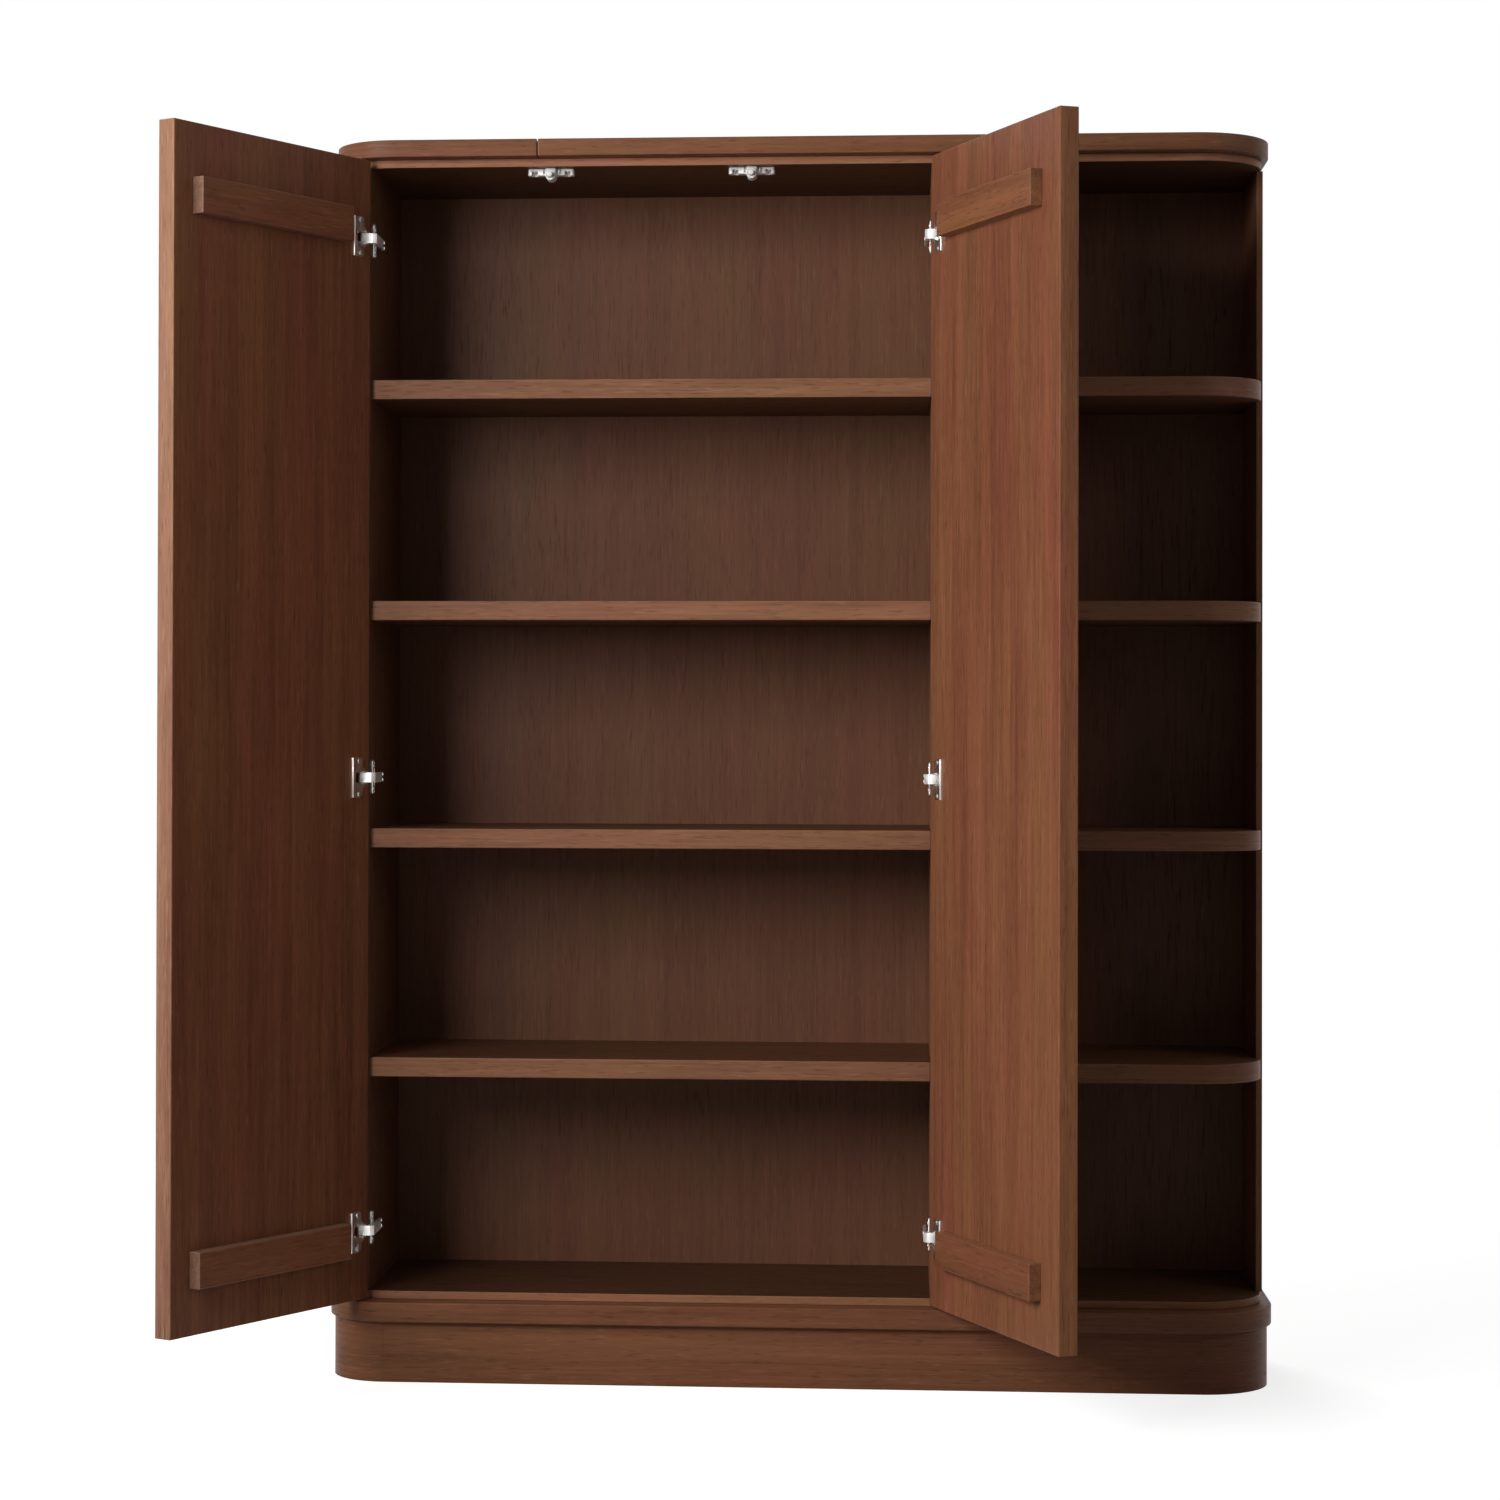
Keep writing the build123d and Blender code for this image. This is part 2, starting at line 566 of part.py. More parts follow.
right_door = softened(right_door, DOOR_RIM_ROUND, level)
for z in hinge_heights:
    left_door = left_door - hinge_pocket(z)
    right_door = right_door - mirror(hinge_pocket(z), about=mirror_plane)
for screw in flange_screws:
    left_door = left_door - screw
    right_door = right_door - mirror(screw, about=mirror_plane)


# Battens
def door_batten(low, free_inset):
    """A batten on the left door, which ends at an inset from the door's free edge."""
    batten = board(
        left_door_edge + BATTEN_HINGE_INSET, left_door_edge + door_width - free_inset,
        door_inner_face, door_inner_face + BATTEN_THICKNESS, low, low + BATTEN_HEIGHT)
    return fillet(batten.faces().sort_by(Axis.Y)[-1].edges(), BATTEN_EDGE_ROUND)


low_batten = door_bottom + BATTEN_FROM_DOOR_BOTTOM
high_batten = door_top - BATTEN_FROM_DOOR_TOP - BATTEN_HEIGHT
left_battens, right_battens = [], []
for low in (low_batten, high_batten):
    left_battens.append(door_batten(low, LEFT_BATTEN_FREE_INSET))
    right_battens.append(mirror(door_batten(low, RIGHT_BATTEN_FREE_INSET), about=mirror_plane))

keep_node("left_door_panel", swung(left_door, left_pivot_x, -LEFT_DOOR_OPEN))
keep_node("right_door_panel", swung(right_door, right_pivot_x, RIGHT_DOOR_OPEN))
for place, left_batten, right_batten in zip(("bottom", "top"), left_battens, right_battens):
    keep_node(f"left_door_{place}_batten", swung(left_batten, left_pivot_x, -LEFT_DOOR_OPEN))
    keep_node(f"right_door_{place}_batten", swung(right_batten, right_pivot_x, RIGHT_DOOR_OPEN))
for name, pieces in (("hinge_cups", cups), ("hinge_pins", pins), ("hinge_cup_screws", flange_screws)):
    keep_node(f"left_{name}", group(
        swung(piece, left_pivot_x, -LEFT_DOOR_OPEN) for piece in pieces))
    keep_node(f"right_{name}", group(
        swung(mirror(piece, about=mirror_plane), right_pivot_x, RIGHT_DOOR_OPEN) for piece in pieces))
for name, pieces in (("hinge_arms", arms), ("hinge_mount_plates", plates), ("hinge_plate_screws", plate_screws)):
    keep_node(f"left_{name}", group(pieces))
    keep_node(f"right_{name}", group(mirror(piece, about=mirror_plane) for piece in pieces))
for screw in plate_screws:
    made["left_wall"] = made["left_wall"] - screw
    made["divider"] = made["divider"] - mirror(screw, about=mirror_plane)

# Push latches: a winged housing, a sprung plunger and its spring
barrel_front = carcass_front + LATCH_BARREL_FRONT
barrel_z = ceiling - LATCH_BARREL_DROP
plunger_tip = door_inner_face + PLUNGER_DOOR_CLEARANCE
plunger_shoulder = plunger_tip + PLUNGER_HEAD
bore_end = barrel_front + LATCH_BORE_DEPTH
spring_start = plunger_shoulder + PLUNGER_TRAVEL + SPRING_CLEARANCE
latch_screws = []
latch_places = (("left", wall_inner + LATCH_FROM_WALL), ("right", divider_left_face - LATCH_FROM_WALL))
for name, x in latch_places:
    wing_front = carcass_front + LATCH_WING_SETBACK
    wings = board(
        x - LATCH_WING_WIDTH / 2, x + LATCH_WING_WIDTH / 2, wing_front, wing_front + LATCH_WING_DEPTH,
        ceiling - LATCH_WING_HEIGHT, ceiling)
    wings = fillet(wings.edges().filter_by(Axis.Z), LATCH_WING_DEPTH / 4)
    barrel = depth_rod(x, barrel_front, barrel_front + LATCH_BARREL_LENGTH, barrel_z, LATCH_BARREL_RADIUS)
    saddle = board(
        x - LATCH_BARREL_RADIUS, x + LATCH_BARREL_RADIUS, barrel_front, barrel_front + LATCH_BARREL_LENGTH,
        barrel_z, ceiling)
    housing = wings + barrel + saddle - depth_rod(x, barrel_front, bore_end, barrel_z, LATCH_BORE_RADIUS)
    for side in (-1, 1):
        screw_x = x + side * LATCH_SCREW_SPACING / 2
        screw_y = wing_front + LATCH_WING_DEPTH / 2
        seat = ceiling - LATCH_WING_HEIGHT
        shank = upright_rod(screw_x, screw_y, seat, seat + SCREW_LENGTH + DOWEL_RADIUS, SCREW_SHANK_RADIUS)
        head = upright_rod(screw_x, screw_y, seat - SCREW_HEAD_HEIGHT, seat, SCREW_HEAD_RADIUS)
        screw = shank + head
        latch_screws.append(screw)
        housing = housing - screw
        made["carcass_top_panel"] = made["carcass_top_panel"] - screw
    plunger = depth_rod(x, plunger_tip, plunger_shoulder, barrel_z, PLUNGER_RADIUS)
    plunger = plunger + depth_rod(
        x, plunger_shoulder, bore_end - PLUNGER_TRAVEL - SPRING_CLEARANCE, barrel_z, PLUNGER_STEM_RADIUS)
    spring_outer = LATCH_BORE_RADIUS - SPRING_CLEARANCE
    spring = depth_rod(x, spring_start, bore_end, barrel_z, spring_outer)
    spring = spring - depth_rod(x, spring_start, bore_end, barrel_z, spring_outer - SPRING_WALL)
    keep_node(f"latch_housing_{name}", housing)
    keep_node(f"latch_plunger_{name}", plunger)
    keep_node(f"latch_spring_{name}", spring)
keep_node("latch_screws", group(latch_screws))

os.makedirs("parts", exist_ok=True)
for name, shape in made.items():
    export_step(shape, f"parts/{name}.step")
    print(name, round(shape.volume))
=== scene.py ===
import math

import bpy
from mathutils import Matrix, Vector


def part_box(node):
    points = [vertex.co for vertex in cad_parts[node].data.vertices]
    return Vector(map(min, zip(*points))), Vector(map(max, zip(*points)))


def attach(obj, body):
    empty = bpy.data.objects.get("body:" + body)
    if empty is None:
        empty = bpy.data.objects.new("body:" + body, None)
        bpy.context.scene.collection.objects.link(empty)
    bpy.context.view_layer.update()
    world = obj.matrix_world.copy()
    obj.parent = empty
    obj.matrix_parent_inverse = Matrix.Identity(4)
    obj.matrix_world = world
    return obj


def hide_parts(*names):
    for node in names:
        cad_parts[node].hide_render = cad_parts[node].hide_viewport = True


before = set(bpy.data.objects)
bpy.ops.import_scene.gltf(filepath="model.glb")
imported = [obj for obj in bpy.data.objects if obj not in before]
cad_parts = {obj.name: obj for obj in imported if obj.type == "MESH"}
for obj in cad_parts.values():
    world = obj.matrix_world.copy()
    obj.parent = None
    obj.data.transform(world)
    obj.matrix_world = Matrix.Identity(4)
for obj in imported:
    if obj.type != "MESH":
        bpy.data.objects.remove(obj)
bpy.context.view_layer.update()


# Camera. The photograph was taken a little right of the cabinet's middle, at chest height,
# from about five metres, with a moderately long lens whose frame is shifted to level the shot.
PHOTO_SIDE = 1500
CAMERA_PLACE = Vector((0.14311, -5.09138, 0.94732))
CAMERA_YAW = math.radians(-4.07)
CAMERA_PITCH = math.radians(0.48)
CAMERA_ROLL = math.radians(-0.13)
FOCAL_PIXELS = 3428.4
FRAME_SHIFT_RIGHT = 97.1
FRAME_SHIFT_DOWN = -50.4
SENSOR_WIDTH = 36.0


def camera_axes(yaw, pitch, roll):
    """The camera's right, up and backward axes, from its turn to the right, its tilt and its roll."""
    forward = Vector((math.sin(yaw) * math.cos(pitch), math.cos(yaw) * math.cos(pitch), math.sin(pitch)))
    level_right = Vector((math.cos(yaw), -math.sin(yaw), 0))
    level_up = level_right.cross(forward)
    rightward = level_right * math.cos(roll) - level_up * math.sin(roll)
    upward = level_right * math.sin(roll) + level_up * math.cos(roll)
    return rightward, upward, -forward


camera_data = bpy.data.cameras.new("photo_camera")
camera_data.sensor_width = SENSOR_WIDTH
camera_data.lens = FOCAL_PIXELS / PHOTO_SIDE * SENSOR_WIDTH
camera_data.shift_x = FRAME_SHIFT_RIGHT / PHOTO_SIDE
camera_data.shift_y = FRAME_SHIFT_DOWN / PHOTO_SIDE
camera = bpy.data.objects.new("photo_camera", camera_data)
bpy.context.scene.collection.objects.link(camera)
camera.matrix_world = (
    Matrix.Translation(CAMERA_PLACE)
    @ Matrix(camera_axes(CAMERA_YAW, CAMERA_PITCH, CAMERA_ROLL)).transposed().to_4x4()
)
bpy.context.scene.camera = camera
bpy.context.scene.view_settings.view_transform = "Standard"


# Studio. A wide soft light stands on the left, a weak one on the right and one behind, in a dim
# room whose floor keeps a soft shadow and shows the lens plain white.
ROOM_GLOW = 0.028
FLOOR_GLOW = 0.80
FLOOR_PALE = (0.35, 0.35, 0.35, 1.0)
FLOOR_SEEN = (0.50, 0.50, 0.50, 1.0)
FADE_START = 1.6
FADE_END = 4.5


def soft_light(name, place, aim, width, height, watts):
    """Adds a soft rectangular light that the lens does not see."""
    data = bpy.data.lights.new(name, "AREA")
    data.shape = "RECTANGLE"
    data.size = width
    data.size_y = height
    data.energy = watts
    light = bpy.data.objects.new(name, data)
    bpy.context.scene.collection.objects.link(light)
    light.location = place
    light.rotation_euler = (Vector(aim) - Vector(place)).to_track_quat("-Z", "Y").to_euler()
    light.visible_camera = False


soft_light("side_light", (-2.14, -2.50, 1.85), (-0.3, 0.0, 1.05), width=2.2, height=1.5, watts=116.0)
soft_light("fill_light", (2.38, -1.55, 2.0), (-0.3, 0.0, 1.0), width=0.9, height=0.9, watts=8.0)
soft_light("rear_light", (-0.5, 3.6, 2.4), (0.0, 0.0, 1.0), width=1.8, height=1.6, watts=90.0)


class Shading:
    """A node tree with short calls that add a node, set its plain values and join its inputs."""

    def __init__(self, tree):
        self.tree = tree

    def add(self, kind, settings=None, **inputs):
        """Adds a node. An input given as an output socket is joined, and any other is set."""
        node = self.tree.nodes.new("ShaderNode" + kind)
        for name, value in (settings or {}).items():
            setattr(node, name, value)
        for name, value in inputs.items():
            key = int(name[1:]) if name[0] == "_" else name.replace("_", " ")
            socket = node.inputs[key]
            if isinstance(value, bpy.types.NodeSocket):
                self.tree.links.new(value, socket)
            else:
                socket.default_value = value
        return node

    def math(self, operation, first, second=0.0, third=0.0):
        """The result of one sum on numbers or sockets."""
        return self.add("Math", {"operation": operation}, _0=first, _1=second, _2=third).outputs[0]

    def spread(self, value, low, high, to_low=0.0, to_high=1.0):
        """A value between two limits, brought to lie between two others."""
        return self.add(
            "MapRange", Value=value, From_Min=low, From_Max=high, To_Min=to_low, To_Max=to_high).outputs[0]

    def blend(self, share, first, second, kind="MIX"):
        """Two colours mixed by a share."""
        return self.add("MixRGB", {"blend_type": kind}, Fac=share, Color1=first, Color2=second).outputs[0]

    def scaled(self, vector, x, y, z):
        """A vector stretched by a factor along each axis."""
        return self.add("Mapping", Vector=vector, Scale=(x, y, z)).outputs[0]

    def noise(self, vector, scale, detail=2.0, roughness=0.5, distortion=0.0):
        """A smooth random value over the surface, about a half."""
        node = self.add(
            "TexNoise", {"normalize": True}, Vector=vector, Scale=scale, Detail=detail,
            Roughness=roughness, Distortion=distortion)
        return node.outputs[0]

    def lens_or_gloss(self):
        """A 1 for the rays that the lens, metal and glass send out, and a 0 for the rest."""
        path = self.add("LightPath").outputs
        seen = self.math("MAXIMUM", path["Is Camera Ray"], path["Is Glossy Ray"])
        return self.math("MAXIMUM", seen, path["Is Transmission Ray"])


world = bpy.data.worlds.new("pale_room")
bpy.context.scene.world = world
world.use_nodes = True
room = Shading(world.node_tree)
room_light = world.node_tree.nodes["Background"]
room_light.inputs["Color"].default_value = (1.0, 1.0, 1.0, 1.0)
room_strength = room.spread(room.lens_or_gloss(), 0.0, 1.0, ROOM_GLOW, 1.0)
world.node_tree.links.new(room_strength, room_light.inputs["Strength"])

bpy.ops.object.select_all(action="DESELECT")
bpy.ops.mesh.primitive_circle_add(vertices=96, radius=30.0, fill_type="NGON", location=(0, 0, 0))
floor = bpy.context.object
floor.name = "studio_floor"
bpy.ops.object.mode_set(mode="EDIT")
bpy.ops.mesh.select_all(action="SELECT")
bpy.ops.mesh.inset(thickness=24.0)
bpy.ops.object.mode_set(mode="OBJECT")
floor_paint = bpy.data.materials.new("pale_floor")
floor_paint.use_nodes = True
floor_paint.node_tree.nodes.clear()
paint = Shading(floor_paint.node_tree)
plain = paint.add("BsdfDiffuse", Color=FLOOR_PALE).outputs[0]
shaded = paint.add("BsdfDiffuse", Color=FLOOR_SEEN).outputs[0]
glow = paint.add("Emission", Strength=FLOOR_GLOW).outputs[0]
white = paint.add("Emission", Strength=1.0).outputs[0]
near = paint.add("AddShader", _0=shaded, _1=glow).outputs[0]
reach = paint.add("VectorMath", {"operation": "LENGTH"}, _0=paint.add("TexCoord").outputs["Object"])
far = paint.add("MapRange", {"interpolation_type": "SMOOTHSTEP"}, Value=reach.outputs["Value"],
                From_Min=FADE_START, From_Max=FADE_END).outputs[0]
seen = paint.add("MixShader", _0=far, _1=near, _2=white).outputs[0]
floor_look = paint.add("MixShader", _0=paint.lens_or_gloss(), _1=plain, _2=seen).outputs[0]
paint.add("OutputMaterial", Surface=floor_look)
floor.data.materials.append(floor_paint)


# Plinth. Walnut-veneered boards stand on edge round three braces, with two bent boards at the
# front corners. The veneer runs level and follows the bends, and the whole is glued.
def effect_group(name, inputs, outputs):
    """A new shader group with its named inputs and outputs, given as (name, kind, value)."""
    group = bpy.data.node_groups.new(name, "ShaderNodeTree")
    for socket_name, kind, value in inputs:
        socket = group.interface.new_socket(socket_name, in_out="INPUT", socket_type="NodeSocket" + kind)
        if value is not None:
            socket.default_value = value
    for socket_name, kind in outputs:
        group.interface.new_socket(socket_name, in_out="OUTPUT", socket_type="NodeSocket" + kind)
    return group, group.nodes.new("NodeGroupInput").outputs, group.nodes.new("NodeGroupOutput").inputs


def walnut_figure():
    """Walnut veneer with its grain along Z: bands, arches, fibres, dark pores and pale gleams."""
    group, given, made = effect_group(
        "WalnutVeneer",
        [("Grain", "Vector", None), ("Pale", "Color", (0.27, 0.11, 0.05, 1)),
         ("Dark", "Color", (0.11, 0.04, 0.02, 1)), ("Contrast", "Float", 1.0)],
        [("Color", "Color"), ("Roughness", "Float"), ("Height", "Float")])
    work = Shading(group)
    grain = given["Grain"]
    drift = work.noise(work.scaled(grain, 5.0, 5.0, 1.3), 1.0, 2.0)
    bands = work.noise(work.scaled(grain, 34.0, 34.0, 0.9), 1.0, 3.0, 0.6, 0.4)
    figure = work.noise(work.scaled(grain, 8.0, 8.0, 0.8), 1.0, 2.0, 0.45, 0.3)
    arches = work.math("SINE", work.math("MULTIPLY", figure, 62.0))
    fibres = work.noise(work.scaled(grain, 150.0, 150.0, 2.6), 1.0, 3.0, 0.6)
    hairs = work.noise(work.scaled(grain, 400.0, 400.0, 8.0), 1.0, 2.0, 0.5)
    flecks = work.noise(work.scaled(grain, 190.0, 190.0, 17.0), 1.0, 2.0, 0.5)
    pores = work.spread(work.noise(work.scaled(grain, 430.0, 430.0, 34.0), 1.0, 1.0), 0.60, 0.70)
    gleams = work.spread(work.noise(work.scaled(grain, 390.0, 390.0, 27.0), 1.0, 1.0, 0.5, 0.2), 0.61, 0.73)
    tone = 0.0
    for layer, share in ((bands, 0.95), (drift, 0.75), (fibres, 0.72), (hairs, 0.36), (flecks, 0.42)):
        tone = work.math("MULTIPLY_ADD", work.math("SUBTRACT", layer, 0.5), share, tone)
    tone = work.math("MULTIPLY_ADD", arches, 0.045, tone)
    tone = work.math("MULTIPLY_ADD", tone, given["Contrast"], 0.5)
    wood = work.blend(work.add("Clamp", Value=tone).outputs[0], given["Dark"], given["Pale"])
    gleam_share = work.math("MULTIPLY", work.math("MULTIPLY", gleams, 0.13), given["Contrast"])
    wood = work.blend(gleam_share, wood, (0.42, 0.24, 0.15, 1.0), "SCREEN")
    pore_share = work.math("MULTIPLY", work.math("MULTIPLY", pores, 0.36), given["Contrast"])
    wood = work.blend(pore_share, wood, (0.30, 0.22, 0.18, 1.0), "MULTIPLY")
    cast = work.noise(work.scaled(grain, 13.0, 13.0, 1.6), 1.0, 2.0)
    hue = work.math("MULTIPLY_ADD", cast, 0.034, 0.483)
    wood = work.add("HueSaturation", Hue=hue, Color=wood).outputs[0]
    rough = work.math("MULTIPLY_ADD", fibres, 0.12, 0.40)
    rough = work.math("MULTIPLY_ADD", pores, 0.18, rough)
    height = work.math("MULTIPLY_ADD", fibres, 0.6, work.math("MULTIPLY", pores, -0.7))
    group.links.new(wood, made["Color"])
    group.links.new(rough, made["Roughness"])
    group.links.new(height, made["Height"])
    return group


def rubbed_edge_and_highlight():
    """Paints an edge paler, given the edge's rounded normal: partly wear, mostly a painted highlight where
    the edge catches the light.
    """
    group, given, made = effect_group(
        "RubbedEdgeAndHighlight",
        [("Round Normal", "Vector", None), ("Place", "Vector", None),
         ("Color", "Color", (0.2, 0.1, 0.05, 1)),
         ("Rubbed", "Color", (0.5, 0.3, 0.2, 1)), ("Amount", "Float", 0.5)],
        [("Color", "Color")])
    work = Shading(group)
    flat = work.add("NewGeometry").outputs["Normal"]
    match = work.add("VectorMath", {"operation": "DOT_PRODUCT"}, _0=flat, _1=given["Round Normal"])
    edge = work.spread(match.outputs["Value"], 0.985, 0.80)
    uneven = work.spread(work.noise(given["Place"], 26.0, 3.0, 0.6), 0.32, 0.62, 0.25, 1.0)
    share = work.math("MULTIPLY", work.math("MULTIPLY", edge, uneven), given["Amount"])
    group.links.new(work.blend(share, given["Color"], given["Rubbed"]), made["Color"])
    return group


PER_QUARTER_TURN = 2 / math.pi


def veneer_wrap():
    """Turns a level board's grain so that it runs round two curved front corners of its edge."""
    group, given, made = effect_group(
        "VeneerWrap",
        [("Place", "Vector", None), ("Normal", "Vector", None), ("Left Centre", "Float", -1.0),
         ("Right Centre", "Float", 1.0), ("Left Front", "Float", 0.0), ("Right Front", "Float", 0.0),
         ("Left Radius", "Float", 0.1), ("Right Radius", "Float", 0.1)],
        [("Grain", "Vector")])
    work = Shading(group)
    place = work.add("SeparateXYZ", Vector=given["Place"]).outputs
    facing = work.add("SeparateXYZ", Vector=given["Normal"]).outputs

    def excess(larger, smaller):
        return work.math("MAXIMUM", work.math("SUBTRACT", larger, smaller), 0.0)

    def turn(beyond, ahead):
        return work.math("ARCTAN2", beyond, work.math("ADD", ahead, 0.00001))

    right_turn = turn(excess(place["X"], given["Right Centre"]), excess(given["Right Front"], place["Y"]))
    left_turn = turn(excess(given["Left Centre"], place["X"]), excess(given["Left Front"], place["Y"]))
    along = work.math("MAXIMUM", place["X"], given["Left Centre"])
    along = work.math("MINIMUM", along, given["Right Centre"])
    along = work.math("MULTIPLY_ADD", right_turn, given["Right Radius"], along)
    along = work.math("SUBTRACT", along, work.math("MULTIPLY", left_turn, given["Left Radius"]))
    right_side = work.math("MULTIPLY", excess(place["Y"], given["Right Front"]), right_turn)
    left_side = work.math("MULTIPLY", excess(place["Y"], given["Left Front"]), left_turn)
    along = work.math("MULTIPLY_ADD", right_side, PER_QUARTER_TURN, along)
    along = work.math("SUBTRACT", along, work.math("MULTIPLY", left_side, PER_QUARTER_TURN))
    edge_grain = work.add("CombineXYZ", X=place["Z"], Y=3.0, Z=along).outputs[0]
    face_grain = work.add("CombineXYZ", X=place["Y"], Y=place["Z"], Z=place["X"]).outputs[0]
    flat = work.math("GREATER_THAN", work.math("ABSOLUTE", facing["Z"]), 0.6)
    grain = work.add("Mix", {"data_type": "VECTOR"}, _0=flat, _4=edge_grain, _5=face_grain).outputs[1]
    group.links.new(grain, made["Grain"])
    return group


WALNUT = walnut_figure()
WRAP = veneer_wrap()
RUBBED_AND_HIGHLIGHT = rubbed_edge_and_highlight()
# The paler edge colour below is partly wear and mostly a painted highlight along the edges.
RUBBED_HIGHLIGHT_COLOUR = (0.46, 0.27, 0.18, 1.0)
EDGE_ROUNDING = 0.0022
WOOD_GLOSS = 0.12
GRAIN_TURNS = {
    "upright": (0, 0, 0),
    "across": (0, math.radians(90), 0),
    "deep": (math.radians(90), 0, 0),
}


def walnut(name, pale, dark, run="upright", shift=0.0, turn=0.0, corners=None, contrast=1.0,
           rubbed=0.8, level=None, painted_edge_light=None):
    """A walnut veneer whose grain runs upright, across, deep, or round curved corners.

    Where `level` is given, the level faces get painted shade: their colour is the veneer's times it, as
    shelf tops and the inside of the thin panels get little light.
    Where `painted_edge_light` is given, all faces but the broad front and back of a door or batten turned
    by `turn` get painted light: a sheen or shade whose colour is the veneer's times it.
    """
    material = bpy.data.materials.new(name)
    material.use_nodes = True
    work = Shading(material.node_tree)
    surface = material.node_tree.nodes["Principled BSDF"]
    place = work.add("TexCoord").outputs
    if corners:
        wrap = work.add(
            "Group", {"node_tree": WRAP}, Place=place["Object"], Normal=place["Normal"], **corners)
        grain = work.add("Mapping", Vector=wrap.outputs[0], Location=(shift, 0, shift * 0.6)).outputs[0]
    else:
        spun = work.add(
            "Mapping", Vector=place["Object"], Rotation=(0, 0, turn),
            Location=(shift, shift * 1.7, shift * 0.6)).outputs[0]
        grain = work.add("Mapping", Vector=spun, Rotation=GRAIN_TURNS[run]).outputs[0]
    veneer = work.add(
        "Group", {"node_tree": WALNUT}, Grain=grain, Pale=(*pale, 1.0), Dark=(*dark, 1.0),
        Contrast=contrast).outputs
    leaf_and_painted_light = veneer["Color"]
    # Painted shade: level faces are darkened by the given factor, as little light falls on them.
    if level:
        upward = work.math("ABSOLUTE", work.add("SeparateXYZ", Vector=place["Normal"]).outputs["Z"])
        painted_shade = work.blend(1.0, leaf_and_painted_light, (*level, 1.0), "MULTIPLY")
        leaf_and_painted_light = work.blend(work.spread(upward, 0.5, 0.9), leaf_and_painted_light, painted_shade)
    # Painted light: faces other than a door's or batten's broad ones get a sheen or shade colour, set for
    # each door by how light falls on it.
    if painted_edge_light:
        facing = work.add(
            "Mapping", {"vector_type": "VECTOR"}, Vector=place["Normal"], Rotation=(0, 0, turn)).outputs[0]
        side = work.math("ABSOLUTE", work.add("SeparateXYZ", Vector=facing).outputs["Y"])
        edge_painted_colour = work.blend(1.0, leaf_and_painted_light, (*painted_edge_light, 1.0), "MULTIPLY")
        leaf_and_painted_light = work.blend(work.spread(side, 0.3, 0.7), edge_painted_colour, leaf_and_painted_light)
    rounding = work.add("Bevel", {"samples": 4}, Radius=EDGE_ROUNDING).outputs[0]
    # Painted highlight: edges are painted paler along the rounding, partly as wear.
    worn_and_highlit = work.add(
        "Group", {"node_tree": RUBBED_AND_HIGHLIGHT}, Round_Normal=rounding, Place=place["Object"],
        Color=leaf_and_painted_light, Rubbed=RUBBED_HIGHLIGHT_COLOUR, Amount=rubbed).outputs[0]
    bump = work.add(
        "Bump", Strength=0.3, Distance=0.0003, Height=veneer["Height"], Normal=rounding).outputs[0]
    links = material.node_tree.links
    links.new(worn_and_highlit, surface.inputs["Base Color"])
    links.new(veneer["Roughness"], surface.inputs["Roughness"])
    links.new(bump, surface.inputs["Normal"])
    surface.inputs["Specular IOR Level"].default_value = WOOD_GLOSS
    return material


def finish_node(node, material):
    """Gives a CAD node its material."""
    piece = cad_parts[node]
    piece.data.materials.clear()
    piece.data.materials.append(material)


def span(node):
    """A CAD node's lowest and highest corner."""
    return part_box(node)


FRAME_PALE = (0.253, 0.100, 0.050)
FRAME_DARK = (0.103, 0.039, 0.018)
PLINTH_PALE = (0.233, 0.090, 0.0435)
PLINTH_DARK = (0.095, 0.035, 0.0155)

corner_low, corner_high = span("plinth_corner_left")
right_low, right_high = span("plinth_corner_right")
PLINTH_TURNS = {
    "Left_Centre": corner_high.x,
    "Right_Centre": right_low.x,
    "Left_Front": corner_high.y,
    "Right_Front": right_high.y,
    "Left_Radius": corner_high.x - corner_low.x,
    "Right_Radius": right_high.x - right_low.x,
}
plinth_veneer = walnut(
    "plinth_walnut", PLINTH_PALE, PLINTH_DARK, corners=PLINTH_TURNS, shift=0.37, rubbed=0.15)
for node in ("plinth_corner_left", "plinth_corner_right", "plinth_front_board", "plinth_left_board",
             "plinth_right_board", "plinth_back_board"):
    finish_node(node, plinth_veneer)
brace_veneer = walnut("plinth_brace_walnut", FRAME_PALE, FRAME_DARK, run="deep", shift=0.9)
for node in ("plinth_brace_1", "plinth_brace_2", "plinth_brace_3"):
    finish_node(node, brace_veneer)


# Slabs. The base slab and the top slab are thick boards with two rounded front corners, veneered
# on the flat and edged with veneer bent round the corners. The top one is made in two lengths.
LEFT_CORNER = 0.095
RIGHT_CORNER = 0.115


def turns(left, right, front, left_radius, right_radius):
    """Where a board's veneer turns, from its two ends, its front and its corner radii."""
    return {
        "Left_Centre": left + left_radius,
        "Right_Centre": right - right_radius,
        "Left_Front": front + left_radius,
        "Right_Front": front + right_radius,
        "Left_Radius": left_radius,
        "Right_Radius": right_radius,
    }


slab_low, slab_high = span("base_slab")
BASE_TURNS = turns(slab_low.x, slab_high.x, slab_low.y, LEFT_CORNER, RIGHT_CORNER)
# Its edges get the strongest painted highlight, partly as wear.
finish_node("base_slab", walnut(
    "base_slab_walnut", FRAME_PALE, FRAME_DARK, corners=BASE_TURNS, shift=1.3, rubbed=1.0))
top_low = span("top_slab_left")[0]
top_high = span("top_slab_right")[1]
TOP_TURNS = turns(top_low.x, top_high.x, top_low.y, LEFT_CORNER, RIGHT_CORNER)
for side, shift in (("left", 2.9), ("right", 4.1)):
    finish_node(f"top_slab_{side}", walnut(
        f"top_{side}_walnut", FRAME_PALE, FRAME_DARK, corners=TOP_TURNS, shift=shift))


